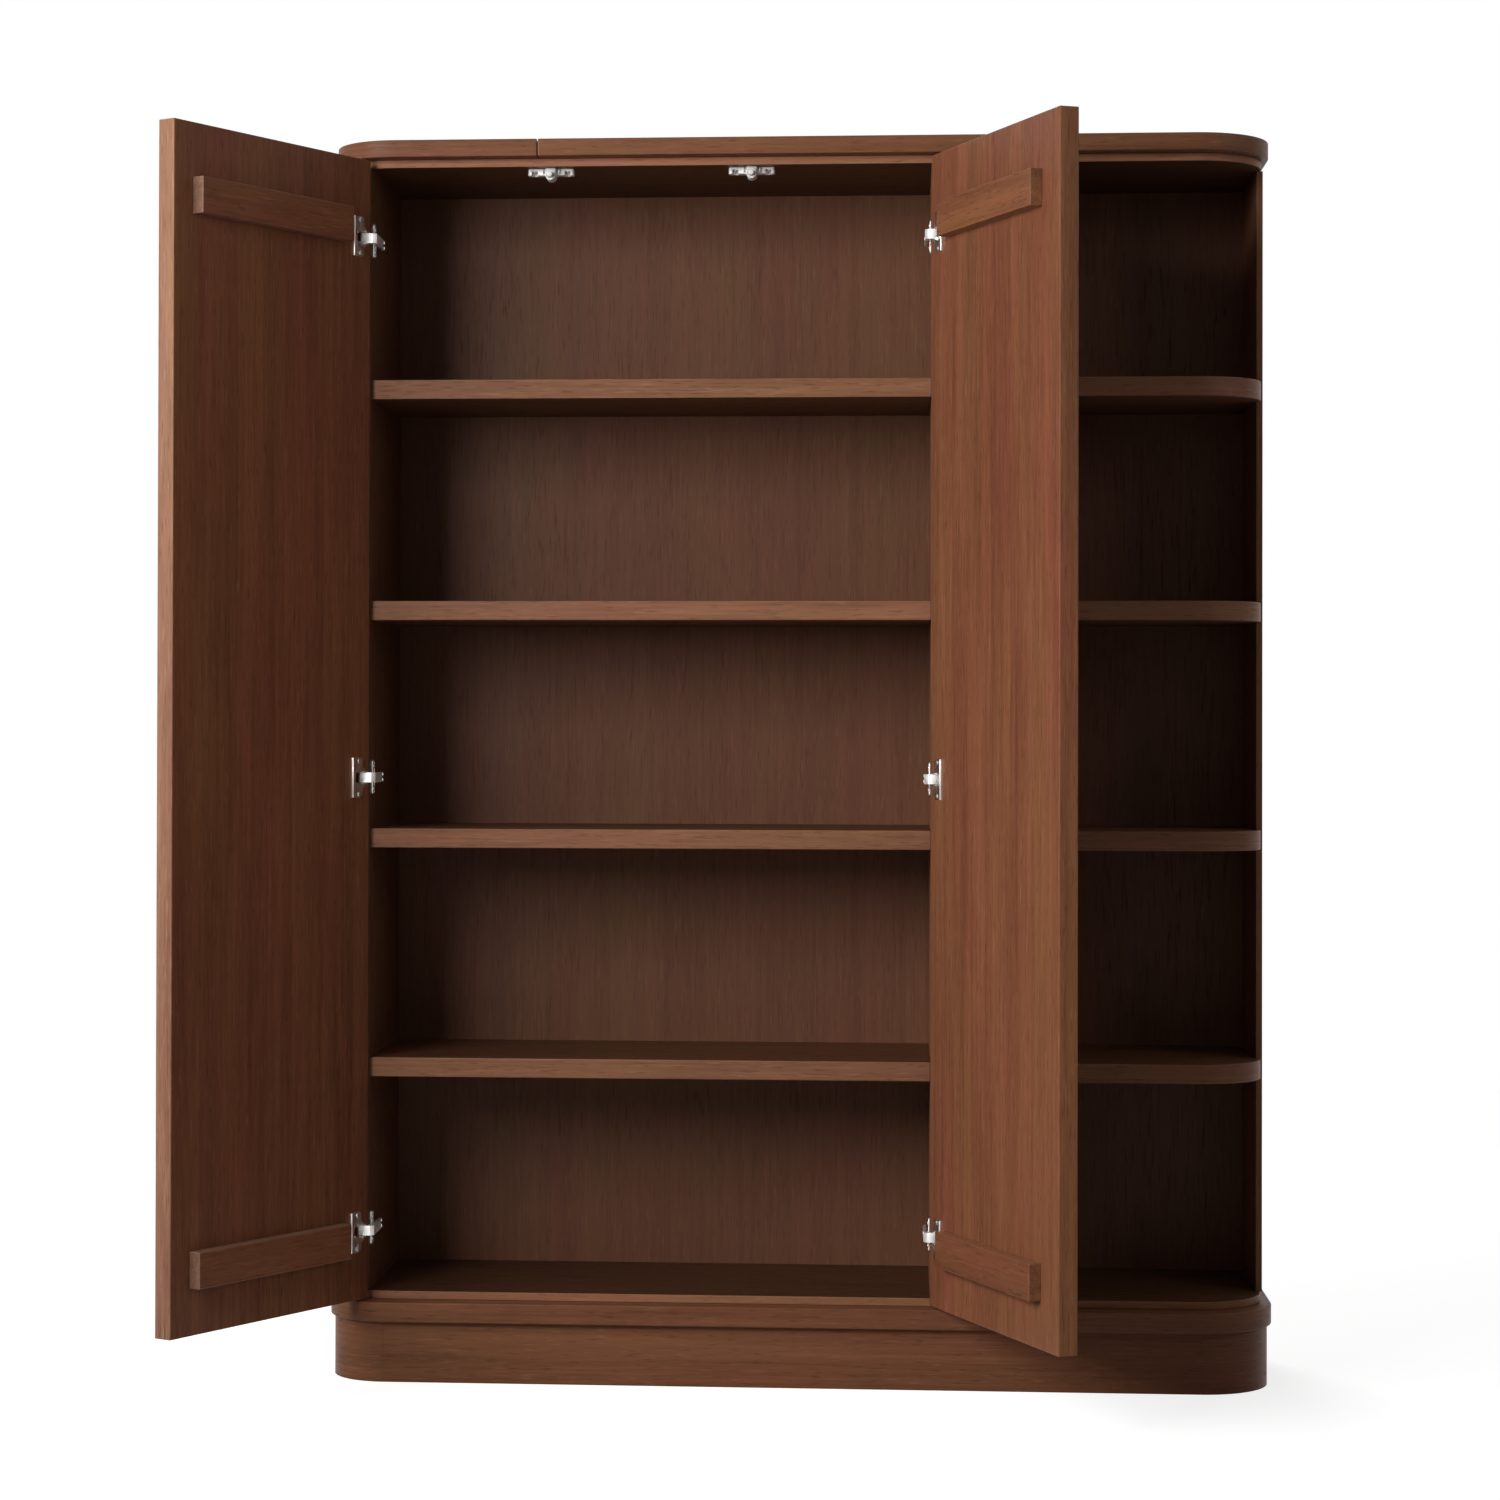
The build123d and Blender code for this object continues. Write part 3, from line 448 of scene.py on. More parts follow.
# Carcass. Thin bottom and top panels run the whole width and carry the uprights, the back panels
# and the shelves. All are veneered boards, dowelled and glued.
SHELF_PALE = (0.324, 0.144, 0.079)
SHELF_DARK = (0.132, 0.056, 0.029)
BACK_PALE = (0.199, 0.086, 0.048)
BACK_DARK = (0.081, 0.034, 0.018)
# Painted shade: the left wall's colours below are darker than the back panels', for the shade that the open
# left door casts on its inner face.
WALL_PALE_PAINTED_SHADE = (0.139, 0.060, 0.031)
WALL_DARK_PAINTED_SHADE = (0.057, 0.024, 0.012)
# Painted shade: the factor below darkens the shelves' level faces, where little light falls.
LEVEL_FACE_PAINTED_SHADE = (0.39, 0.35, 0.29)
# Painted light: the thin panels' colours below are paler than the other boards', so that their front edges
# look lit where the top slab's overhang shades them.
PANEL_PALE_PAINTED_LIGHT = (0.400, 0.176, 0.096)
PANEL_DARK_PAINTED_LIGHT = (0.170, 0.072, 0.037)
# Painted shade: the factor below darkens the thin panels' level faces, the cabinet's floor and ceiling,
# where little light falls.
PANEL_LEVEL_FACE_PAINTED_SHADE = (0.22, 0.20, 0.17)
POST_CORNER = 0.087
SHELF_CORNER = 0.1
BOARD_SHIFT = 0.61
SHELF_SHIFT = 0.83
CARCASS_TURNS = turns(
    span("left_corner_post")[1].x - POST_CORNER, span("side_shelf_1")[1].x,
    span("carcass_bottom_panel")[0].y, POST_CORNER, SHELF_CORNER)
# The thin panels get painted light on their front edges and painted shade on their level faces.
for number, node in enumerate(("carcass_bottom_panel", "carcass_top_panel")):
    finish_node(node, walnut(
        node + "_walnut", PANEL_PALE_PAINTED_LIGHT, PANEL_DARK_PAINTED_LIGHT, corners=CARCASS_TURNS, shift=5.3 + number,
        level=PANEL_LEVEL_FACE_PAINTED_SHADE))
for number, node in enumerate(("divider", "left_corner_post", "left_end_panel")):
    finish_node(node, walnut(node + "_walnut", FRAME_PALE, FRAME_DARK, shift=BOARD_SHIFT * number))
# Painted shade: the left wall gets the darker walnut.
finish_node("left_wall", walnut("left_wall_painted_shade_walnut", WALL_PALE_PAINTED_SHADE, WALL_DARK_PAINTED_SHADE, shift=1.7, contrast=0.7))
finish_node("right_side_panel", walnut("right_side_panel_walnut", SHELF_PALE, SHELF_DARK, shift=2.2))
for number, node in enumerate(("main_back_panel", "side_back_panel")):
    finish_node(node, walnut(
        node + "_walnut", BACK_PALE, BACK_DARK, shift=3.4 + number, contrast=0.5))
for number in range(1, 5):
    finish_node(f"main_shelf_{number}", walnut(
        f"main_shelf_{number}_walnut", SHELF_PALE, SHELF_DARK, run="across",
        shift=SHELF_SHIFT * number, level=LEVEL_FACE_PAINTED_SHADE))
    finish_node(f"side_shelf_{number}", walnut(
        f"side_shelf_{number}_walnut", SHELF_PALE, SHELF_DARK, corners=CARCASS_TURNS,
        shift=1.9 + SHELF_SHIFT * number, level=LEVEL_FACE_PAINTED_SHADE))


# Doors. Each is one thick veneered board with a batten screwed across its inner face near the
# top and another near the bottom, to keep it flat.
DOOR_PALE = (0.295, 0.110, 0.053)
DOOR_DARK = (0.121, 0.043, 0.020)
# Painted light: the tints below stand in for the sheen on the door edges and the light and shade on the
# batten sides, set apart for each door by how the light falls.
DOOR_EDGE_PAINTED_SHEEN = {"left": (1.10, 1.40, 1.80), "right": (1.22, 1.27, 1.15)}
BATTEN_SIDE_PAINTED_LIGHT = {"left": (0.80, 1.15, 1.60), "right": (1.35, 1.60, 1.65)}
DOOR_TURNS = {"left": math.radians(120), "right": math.radians(-113)}
for number, side in enumerate(("left", "right")):
    finish_node(f"{side}_door_panel", walnut(
        f"{side}_door_walnut", DOOR_PALE, DOOR_DARK, shift=2.7 + number, turn=DOOR_TURNS[side],
        painted_edge_light=DOOR_EDGE_PAINTED_SHEEN[side]))
    for place in ("top", "bottom"):
        finish_node(f"{side}_door_{place}_batten", walnut(
            f"{side}_{place}_batten_walnut", DOOR_PALE, DOOR_DARK, run="across",
            shift=3.3 + number, turn=DOOR_TURNS[side], painted_edge_light=BATTEN_SIDE_PAINTED_LIGHT[side]))


# Cup hinges. Three on each door hold it to the cabinet: a pressed steel cup with a screw flange
# let into the door, a crooked arm on a pin, and a plate screwed to the wall. All nickel-plated.
wall_face = span("left_wall")[1].x
front_line = span("left_wall")[0].y
divider_face = span("divider")[0].x
DOOR_GAP = 0.002
door_face = front_line - DOOR_GAP
HINGE_PIVOT_OUT = 0.0115
HINGE_PIVOT_AHEAD = 0.0122
FLANGE_HEIGHT = 0.058
MIDDLE_HINGE_RISE = 0.657
lowest_hinge = span("left_hinge_cups")[0].z + FLANGE_HEIGHT / 2
highest_hinge = span("left_hinge_cups")[1].z - FLANGE_HEIGHT / 2
HINGE_HEIGHTS = (lowest_hinge, lowest_hinge + MIDDLE_HINGE_RISE, highest_hinge)
pivot = Vector((wall_face - HINGE_PIVOT_OUT, front_line - HINGE_PIVOT_AHEAD, 0))
middle_plane = (wall_face + divider_face) / 2
OTHER_SIDE = Matrix.Translation((2 * middle_plane, 0, 0)) @ Matrix.Diagonal((-1, 1, 1, 1))
right_pivot = OTHER_SIDE @ pivot


def swing(side):
    """The turn that opens a door from shut to the place where the CAD part holds it."""
    centre = pivot if side == "left" else right_pivot
    turn = Matrix.Rotation(-DOOR_TURNS[side], 4, "Z")
    return Matrix.Translation(centre) @ turn @ Matrix.Translation(-centre)


def only(piece):
    """Makes a piece the only one selected and active."""
    bpy.ops.object.select_all(action="DESELECT")
    piece.select_set(True)
    bpy.context.view_layer.objects.active = piece


def block(name, low, high):
    """A new square block between two corners."""
    bpy.ops.object.select_all(action="DESELECT")
    middle = [(a + b) / 2 for a, b in zip(low, high)]
    bpy.ops.mesh.primitive_cube_add(size=1.0, location=middle)
    piece = bpy.context.object
    piece.name = name
    piece.scale = [b - a for a, b in zip(low, high)]
    bpy.ops.object.transform_apply(location=True, rotation=True, scale=True)
    return piece


TURN_ALONG = {"X": (0, math.radians(90), 0), "Y": (math.radians(-90), 0, 0), "Z": (0, 0, 0)}


def rod(name, start, length, radius, axis, corners=40):
    """A new round bar that runs from a point along +X, +Y or +Z."""
    bpy.ops.object.select_all(action="DESELECT")
    middle = Vector(start)
    middle["XYZ".index(axis)] += length / 2
    bpy.ops.mesh.primitive_cylinder_add(
        vertices=corners, radius=radius, depth=length, location=middle, rotation=TURN_ALONG[axis])
    piece = bpy.context.object
    piece.name = name
    bpy.ops.object.transform_apply(location=True, rotation=True, scale=True)
    return piece


def edit_faces(piece, keep):
    """Opens a piece in edit mode with only the faces selected that keep picks, by centre and normal."""
    only(piece)
    bpy.ops.object.mode_set(mode="EDIT")
    bpy.ops.mesh.select_mode(type="FACE")
    bpy.ops.mesh.select_all(action="DESELECT")
    bpy.ops.object.mode_set(mode="OBJECT")
    for face in piece.data.polygons:
        face.select = keep(face.center, face.normal)
    bpy.ops.object.mode_set(mode="EDIT")


def edit_edges(piece, keep):
    """Opens a piece in edit mode with only the edges selected that keep picks, by their two ends."""
    only(piece)
    bpy.ops.object.mode_set(mode="EDIT")
    bpy.ops.mesh.select_mode(type="EDGE")
    bpy.ops.mesh.select_all(action="DESELECT")
    bpy.ops.object.mode_set(mode="OBJECT")
    ends = piece.data.vertices
    for edge in piece.data.edges:
        edge.select = keep(ends[edge.vertices[0]].co, ends[edge.vertices[1]].co)
    bpy.ops.object.mode_set(mode="EDIT")


def leave_edit():
    """Goes back to object mode."""
    bpy.ops.object.mode_set(mode="OBJECT")


def round_edges(piece, keep, width, steps=3):
    """Rounds the edges that keep picks."""
    edit_edges(piece, keep)
    bpy.ops.mesh.bevel(offset=width, segments=steps, affect="EDGES", clamp_overlap=True)
    leave_edit()


def soften(piece, width, steps=2, limit=40):
    """Takes the sharpness off every edge that turns by more than a limit, and smooths the shading."""
    only(piece)
    bevel = piece.modifiers.new("soft edges", "BEVEL")
    bevel.width = width
    bevel.segments = steps
    bevel.limit_method = "ANGLE"
    bevel.angle_limit = math.radians(limit)
    bevel.harden_normals = False
    bpy.ops.object.modifier_apply(modifier=bevel.name)
    bpy.ops.object.shade_smooth_by_angle(angle=math.radians(limit))


def combine(piece, other, operation):
    """Joins another solid to a piece or cuts it away, and drops the other."""
    only(piece)
    step = piece.modifiers.new("combine", "BOOLEAN")
    step.operation = operation
    step.solver = "EXACT"
    step.object = other
    bpy.ops.object.modifier_apply(modifier=step.name)
    bpy.data.objects.remove(other)


HAIR = 0.00001


def tidy_mesh(piece):
    """Merges doubled points, drops empty edges and turns every face outwards."""
    edit_faces(piece, lambda centre, normal: True)
    bpy.ops.mesh.remove_doubles(threshold=HAIR)
    bpy.ops.mesh.dissolve_degenerate(threshold=HAIR)
    bpy.ops.mesh.normals_make_consistent(inside=False)
    leave_edit()


CUP_RADIUS = 0.0175
CUP_DEPTH = 0.0125
SHEET = 0.0012
ARM_THICKNESS = 0.004
FLANGE_SCREW_RISE = 0.024
CUP_FROM_WALL = 0.0055
FLANGE_OFFSET = 0.005
FLANGE_WIDTH = 0.025
LIP_THICKNESS = 0.002
LIP_HEIGHT = 0.0036
ARM_OPENING = 0.009
LUG_SIDE = 0.0076
LUG_THICKNESS = 0.0022
LUG_REACH = 0.0046
PIN_RADIUS = 0.0015
SCREW_HOLE = 0.00195
PAN_ROUND = 0.0016
HOLLOW_ROUND = 0.0014
LIP_ROUND = 0.0008
OPENING_ROUND = 0.003
LUG_ROUND = 0.0024
CUT_REACH = 0.03
cup_x = wall_face + CUP_FROM_WALL


def model_cup():
    """One pressed cup: a round pan under a screw flange with a raised lip, and two lugs for the pin."""
    pan = rod("hinge_cup", (cup_x, door_face - CUP_DEPTH, 0), CUP_DEPTH, CUP_RADIUS, "Y", 64)
    round_edges(pan, lambda a, b: max(a.y, b.y) < door_face - CUP_DEPTH + HAIR, PAN_ROUND, 3)
    hollow = rod("hollow", (cup_x, door_face - CUP_DEPTH + SHEET, 0), 0.03, CUP_RADIUS - SHEET, "Y", 64)
    round_edges(
        hollow, lambda a, b: max(a.y, b.y) < door_face - CUP_DEPTH + SHEET + HAIR, HOLLOW_ROUND, 3)
    combine(pan, hollow, "DIFFERENCE")
    far = cup_x + FLANGE_OFFSET + FLANGE_WIDTH / 2
    flange = block(
        "flange", (far - FLANGE_WIDTH, door_face - 0.0002, -FLANGE_HEIGHT / 2),
        (far, door_face + SHEET, FLANGE_HEIGHT / 2))
    round_edges(
        flange, lambda a, b: abs(a.y - b.y) > SHEET / 2 and a.x < far - 0.001, FLANGE_WIDTH / 5, 6)
    combine(pan, flange, "UNION")
    lip = block(
        "lip", (far - LIP_THICKNESS, door_face - 0.0001, 0.0001 - FLANGE_HEIGHT / 2),
        (far - 0.00005, door_face + LIP_HEIGHT, FLANGE_HEIGHT / 2 - 0.0001))
    round_edges(lip, lambda a, b: min(a.y, b.y) > door_face + LIP_HEIGHT - HAIR, LIP_ROUND, 3)
    combine(pan, lip, "UNION")
    slot = block(
        "slot", (cup_x - CUT_REACH, door_face - CUP_DEPTH - 0.002, -LUG_SIDE),
        (cup_x + ARM_THICKNESS, door_face - 0.0004, LUG_SIDE))
    combine(pan, slot, "DIFFERENCE")
    opening = block(
        "opening", (cup_x - CUT_REACH, door_face - 0.0008, -LUG_SIDE),
        (cup_x + ARM_OPENING, door_face + 0.003, LUG_SIDE))
    round_edges(opening, lambda a, b: abs(a.y - b.y) > SHEET / 2 and a.x > cup_x, OPENING_ROUND, 5)
    combine(pan, opening, "DIFFERENCE")
    for up in (-1, 1):
        near, outer = sorted((up * LUG_SIDE, up * (LUG_SIDE + LUG_THICKNESS)))
        lug = block(
            "lug", (pivot.x - LUG_REACH, pivot.y - LUG_REACH, near),
            (cup_x - CUP_RADIUS / 2, door_face - 0.0001, outer))
        round_edges(
            lug, lambda a, b: abs(a.z - b.z) > LUG_THICKNESS / 2 and a.x < pivot.x, LUG_ROUND, 4)
        combine(pan, lug, "UNION")
        hole = rod(
            "screw_hole", (cup_x, door_face - 0.003, up * FLANGE_SCREW_RISE), 0.006, SCREW_HOLE, "Y", 24)
        combine(pan, hole, "DIFFERENCE")
    pin_hole = rod("pin_hole", (pivot.x, pivot.y, -0.02), 0.04, PIN_RADIUS, "Z", 24)
    combine(pan, pin_hole, "DIFFERENCE")
    tidy_mesh(pan)
    soften(pan, 0.00022, 2)
    return pan


ARM_HALF = 0.007
ARM_LENGTH = 0.066
ARM_RISE = 0.0056
BOSS_RADIUS = 0.0034
NOSE_BEVEL = 0.0056
GROOVE_HALF = 0.0021
GROOVE_DEPTH = 0.0016
GROOVE_LENGTH = 0.014
PRESSED_EDGE = 0.0016
PRESSED_DEPTH = 0.0009
PIN_PLAY = 0.00006
nose_front = pivot.y - BOSS_RADIUS


def extrude_end(piece, outer, inner):
    """Pulls the selected end face of the arm out and sets its outer and inner edges on two points."""
    bpy.ops.mesh.extrude_region_move(TRANSFORM_OT_translate={"value": (0, -0.001, 0)})
    leave_edit()
    chosen = [v for v in piece.data.vertices if v.select]
    outside = max(v.co.x for v in chosen)
    for v in chosen:
        v.co.x, v.co.y = outer if v.co.x > outside - HAIR / 10 else inner
    bpy.ops.object.mode_set(mode="EDIT")


def model_arm():
    """One crooked arm: a long pressed tail, a square nose round the wall's edge and a boss."""
    inner = wall_face + ARM_RISE
    outer = inner + ARM_THICKNESS
    arm = block(
        "hinge_arm", (inner, front_line + ARM_THICKNESS, -ARM_HALF),
        (outer, front_line + ARM_LENGTH, ARM_HALF))
    edit_faces(arm, lambda centre, normal: normal.y < -0.9)
    extrude_end(arm, (outer, nose_front + NOSE_BEVEL), (wall_face + DOOR_GAP, door_face))
    extrude_end(
        arm, (outer - NOSE_BEVEL, nose_front), (wall_face - NOSE_BEVEL, pivot.y + BOSS_RADIUS * 1.5))
    extrude_end(arm, (pivot.x, nose_front), (pivot.x - 0.0001, pivot.y + BOSS_RADIUS))
    leave_edit()
    edit_faces(arm, lambda centre, normal: normal.x > 0.9 and centre.y > front_line + 0.01)
    bpy.ops.mesh.inset(thickness=PRESSED_EDGE)
    bpy.ops.mesh.extrude_region_shrink_fatten(TRANSFORM_OT_shrink_fatten={"value": -PRESSED_DEPTH})
    leave_edit()
    boss = rod(
        "boss", (pivot.x, pivot.y, 2 * HAIR - ARM_HALF), 2 * ARM_HALF - 4 * HAIR, BOSS_RADIUS, "Z", 32)
    combine(arm, boss, "UNION")
    bore = rod("bore", (pivot.x, pivot.y, -0.02), 0.04, PIN_RADIUS + PIN_PLAY, "Z", 24)
    combine(arm, bore, "DIFFERENCE")
    groove = block(
        "groove", (outer - GROOVE_DEPTH, front_line + ARM_LENGTH - GROOVE_LENGTH, -GROOVE_HALF),
        (outer + 0.002, front_line + ARM_LENGTH + 0.004, GROOVE_HALF))
    combine(arm, groove, "DIFFERENCE")
    tidy_mesh(arm)
    soften(arm, 0.00045, 3)
    return arm


PLATE_HEIGHT = 0.051
PLATE_WIDTH = 0.018
PLATE_THICKNESS = 0.0024
PLATE_SETBACK = 0.020
RAIL_SETBACK = 0.006
RAIL_HALF = 0.0055
RAIL_TOP = 0.0056
PLATE_SCREWS = 0.016
PLATE_EDGE = 0.0012
PLATE_DISH = 0.0005
RAIL_ROUND = 0.0012
plate_y = front_line + PLATE_SETBACK


def model_plate():
    """One mounting plate: two wings with round ends and a raised rail that the arm clips on."""
    plate = block(
        "hinge_plate", (wall_face, plate_y - PLATE_WIDTH / 2, -PLATE_HEIGHT / 2),
        (wall_face + PLATE_THICKNESS, plate_y + PLATE_WIDTH / 2, PLATE_HEIGHT / 2))
    round_edges(plate, lambda a, b: abs(a.x - b.x) > PLATE_THICKNESS / 2, PLATE_WIDTH / 3, 6)
    edit_faces(plate, lambda centre, normal: normal.x > 0.9)
    bpy.ops.mesh.inset(thickness=PLATE_EDGE)
    bpy.ops.mesh.extrude_region_shrink_fatten(TRANSFORM_OT_shrink_fatten={"value": -PLATE_DISH})
    leave_edit()
    rail = block(
        "rail", (wall_face + 0.0004, front_line + RAIL_SETBACK, -RAIL_HALF),
        (wall_face + RAIL_TOP - 0.00003, front_line + ARM_LENGTH - ARM_THICKNESS, RAIL_HALF))
    round_edges(rail, lambda a, b: abs(a.y - b.y) > 0.01 and a.x > wall_face + 0.003, RAIL_ROUND, 3)
    combine(plate, rail, "UNION")
    for up in (-1, 1):
        hole = rod("hole", (wall_face - 0.001, plate_y, up * PLATE_SCREWS), 0.006, SCREW_HOLE, "X", 24)
        combine(plate, hole, "DIFFERENCE")
    tidy_mesh(plate)
    soften(plate, 0.00025, 2)
    return plate


SCREW_HEAD = 0.0036
SCREW_SHANK = 0.0019
SCREW_LENGTH = 0.013
CROSS_REACH = 0.0019
CROSS_HALF = 0.00042


def model_screw(name, head_height):
    """One wood screw that stands along +Z: a domed head with a cross recess on a pointed shank."""
    screw = rod(name, (0, 0, 0), head_height, SCREW_HEAD, "Z", 28)
    round_edges(screw, lambda a, b: min(a.z, b.z) > head_height - HAIR / 10, head_height * 0.72, 4)
    edit_faces(screw, lambda centre, normal: normal.z < -0.9)
    bpy.ops.mesh.inset(thickness=SCREW_HEAD - SCREW_SHANK)
    bpy.ops.mesh.extrude_region_move(TRANSFORM_OT_translate={"value": (0, 0, -SCREW_LENGTH * 0.75)})
    bpy.ops.mesh.extrude_region_move(TRANSFORM_OT_translate={"value": (0, 0, -SCREW_LENGTH * 0.25)})
    bpy.ops.transform.resize(value=(0.15, 0.15, 1.0))
    leave_edit()
    for turn in (0, 90):
        wing = block(
            "cross", (-CROSS_REACH, -CROSS_HALF, head_height * 0.30),
            (CROSS_REACH, CROSS_HALF, head_height + 0.001))
        wing.data.transform(Matrix.Rotation(math.radians(turn), 4, "Z"))
        combine(screw, wing, "DIFFERENCE")
    tidy_mesh(screw)
    only(screw)
    bpy.ops.object.shade_smooth_by_angle(angle=math.radians(35))
    return screw


def copied(source, name, matrix):
    """A copy of a finished piece with its own mesh, moved by a matrix."""
    mesh = source.data.copy()
    mesh.transform(matrix)
    if matrix.determinant() < 0:
        mesh.flip_normals()
    piece = bpy.data.objects.new(name, mesh)
    bpy.context.scene.collection.objects.link(piece)
    return piece


def fit(piece, body, material, node):
    """Gives a new piece its material and its body, and hides the CAD node that it stands for."""
    piece.data.materials.clear()
    piece.data.materials.append(material)
    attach(piece, body)
    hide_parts(node)


def handled_metal():
    """Plated or turned metal with faint rubbing, finger smears and fine scratches."""
    group, given, made = effect_group(
        "HandledMetal",
        [("Place", "Vector", None), ("Metal", "Color", (0.7, 0.69, 0.67, 1)),
         ("Tarnish", "Color", (0.45, 0.42, 0.38, 1)), ("Gloss Roughness", "Float", 0.2)],
        [("Color", "Color"), ("Roughness", "Float"), ("Height", "Float")])
    work = Shading(group)
    smears = work.noise(given["Place"], 90.0, 3.0, 0.6, 0.4)
    grain = work.noise(work.scaled(given["Place"], 900.0, 900.0, 140.0), 1.0, 2.0)
    mask = work.spread(smears, 0.48, 0.75)
    colour = work.blend(work.math("MULTIPLY", mask, 0.35), given["Metal"], given["Tarnish"])
    rough = work.math("MULTIPLY_ADD", mask, 0.16, given["Gloss Roughness"])
    rough = work.math("MULTIPLY_ADD", grain, 0.05, rough)
    group.links.new(colour, made["Color"])
    group.links.new(rough, made["Roughness"])
    group.links.new(grain, made["Height"])
    return group


HANDLED_METAL = handled_metal()


def metal(name, colour, tarnish, roughness, bump_strength=0.12):
    """A metal finish for one kind of fitting."""
    material = bpy.data.materials.new(name)
    material.use_nodes = True
    work = Shading(material.node_tree)
    surface = material.node_tree.nodes["Principled BSDF"]
    place = work.add("TexCoord").outputs["Object"]
    wear = work.add(
        "Group", {"node_tree": HANDLED_METAL}, Place=place, Metal=(*colour, 1.0), Tarnish=(*tarnish, 1.0),
        Gloss_Roughness=roughness)
    bump = work.add("Bump", Strength=bump_strength, Distance=0.0001, Height=wear.outputs["Height"])
    surface.inputs["Metallic"].default_value = 1.0
    links = material.node_tree.links
    links.new(wear.outputs["Color"], surface.inputs["Base Color"])
    links.new(wear.outputs["Roughness"], surface.inputs["Roughness"])
    links.new(bump.outputs[0], surface.inputs["Normal"])
    return material


nickel = metal("hinge_nickel", (0.74, 0.71, 0.67), (0.46, 0.43, 0.39), 0.26)
satin_nickel = metal("hinge_arm_nickel", (0.88, 0.87, 0.84), (0.66, 0.63, 0.58), 0.40)
screw_zinc = metal("screw_zinc", (0.40, 0.39, 0.38), (0.22, 0.21, 0.20), 0.34)

cup, arm, plate = model_cup(), model_arm(), model_plate()
flat_screw = model_screw("flat_screw", 0.0008)
wall_screw = model_screw("wall_screw", 0.0016)
facing_back = Matrix.Rotation(math.radians(-90), 4, "X")
facing_in = Matrix.Rotation(math.radians(90), 4, "Y")
for side in ("left", "right"):
    door_body = f"{side}_door"
    for number, height in enumerate(HINGE_HEIGHTS, start=1):
        placed = Matrix.Translation((0, 0, height))
        if side == "right":
            placed = OTHER_SIDE @ placed
        opened = swing(side) @ placed
        fit(copied(cup, f"{side}_hinge_cup_{number}", opened), door_body, nickel,
            f"{side}_hinge_cups")
        fit(copied(arm, f"{side}_hinge_arm_{number}", placed), "root", satin_nickel,
            f"{side}_hinge_arms")
        fit(copied(plate, f"{side}_hinge_plate_{number}", placed), "root", nickel,
            f"{side}_hinge_mount_plates")
        for word, up in (("low", -1), ("high", 1)):
            seat = Matrix.Translation((cup_x, door_face + SHEET, up * FLANGE_SCREW_RISE))
            fit(copied(flat_screw, f"{side}_hinge_cup_screw_{number}_{word}", opened @ seat @ facing_back),
                door_body, screw_zinc, f"{side}_hinge_cup_screws")
            seat = Matrix.Translation((wall_face + PLATE_THICKNESS, plate_y, up * PLATE_SCREWS))
            fit(copied(wall_screw, f"{side}_hinge_plate_screw_{number}_{word}", placed @ seat @ facing_in),
                "root", screw_zinc, f"{side}_hinge_plate_screws")
    finish_node(f"{side}_hinge_pins", nickel)
for spare in (cup, arm, plate, flat_screw):
    bpy.data.objects.remove(spare)


# Push latches. Each is a silver-grey moulded body with a wing on each side, screwed up under the
# top panel, and a pale plunger that a coil spring pushes forward against the door.
def moulded(name, colour, roughness, speckle):
    """A moulded plastic finish with a faint mould texture."""
    material = bpy.data.materials.new(name)
    material.use_nodes = True
    work = Shading(material.node_tree)
    surface = material.node_tree.nodes["Principled BSDF"]
    place = work.add("TexCoord").outputs["Object"]
    flow = work.noise(place, 60.0, 2.0)
    grain = work.noise(place, 2600.0, 1.0)
    shade = work.math("MULTIPLY_ADD", flow, speckle, 1.0 - speckle / 2)
    grey = work.add("CombineColor", Red=shade, Green=shade, Blue=shade).outputs[0]
    links = material.node_tree.links
    links.new(work.blend(1.0, (*colour, 1.0), grey, "MULTIPLY"), surface.inputs["Base Color"])
    links.new(work.math("MULTIPLY_ADD", grain, 0.12, roughness), surface.inputs["Roughness"])
    bump = work.add("Bump", Strength=0.15, Distance=0.00008, Height=grain)
    links.new(bump.outputs[0], surface.inputs["Normal"])
    return material


silver_plastic = moulded("latch_silver", (0.78, 0.765, 0.74), 0.30, 0.08)
pale_plastic = moulded("latch_pale", (0.74, 0.73, 0.70), 0.38, 0.08)
spring_wire = metal("spring_wire", (0.56, 0.56, 0.57), (0.3, 0.29, 0.27), 0.28)

under = span("carcass_top_panel")[0].z
LATCH_HALF = 0.0335
LATCH_SCREW_OUT = 0.024
WING_SETBACK = 0.022
WING_DEPTH = 0.016
WING_HEIGHT = 0.009
BARREL_AHEAD = 0.011
BARREL_LENGTH = 0.028
BARREL_RADIUS = 0.0072
BARREL_DROP = 0.010
BORE_RADIUS = 0.0046
BORE_DEPTH = 0.023
LATCH_FLOOR = 0.0028
NOTCH_HALF = 0.0044
RIB_OUT = 0.0118
RIB_HALF = 0.0007
WING_ROUND = 0.004
NOTCH_ROUND = 0.0035
MOUTH_EDGE = 0.0009
MOUTH_DEPTH = 0.0008
wing_front = front_line + WING_SETBACK
barrel_front = front_line + BARREL_AHEAD
barrel_z = under - BARREL_DROP


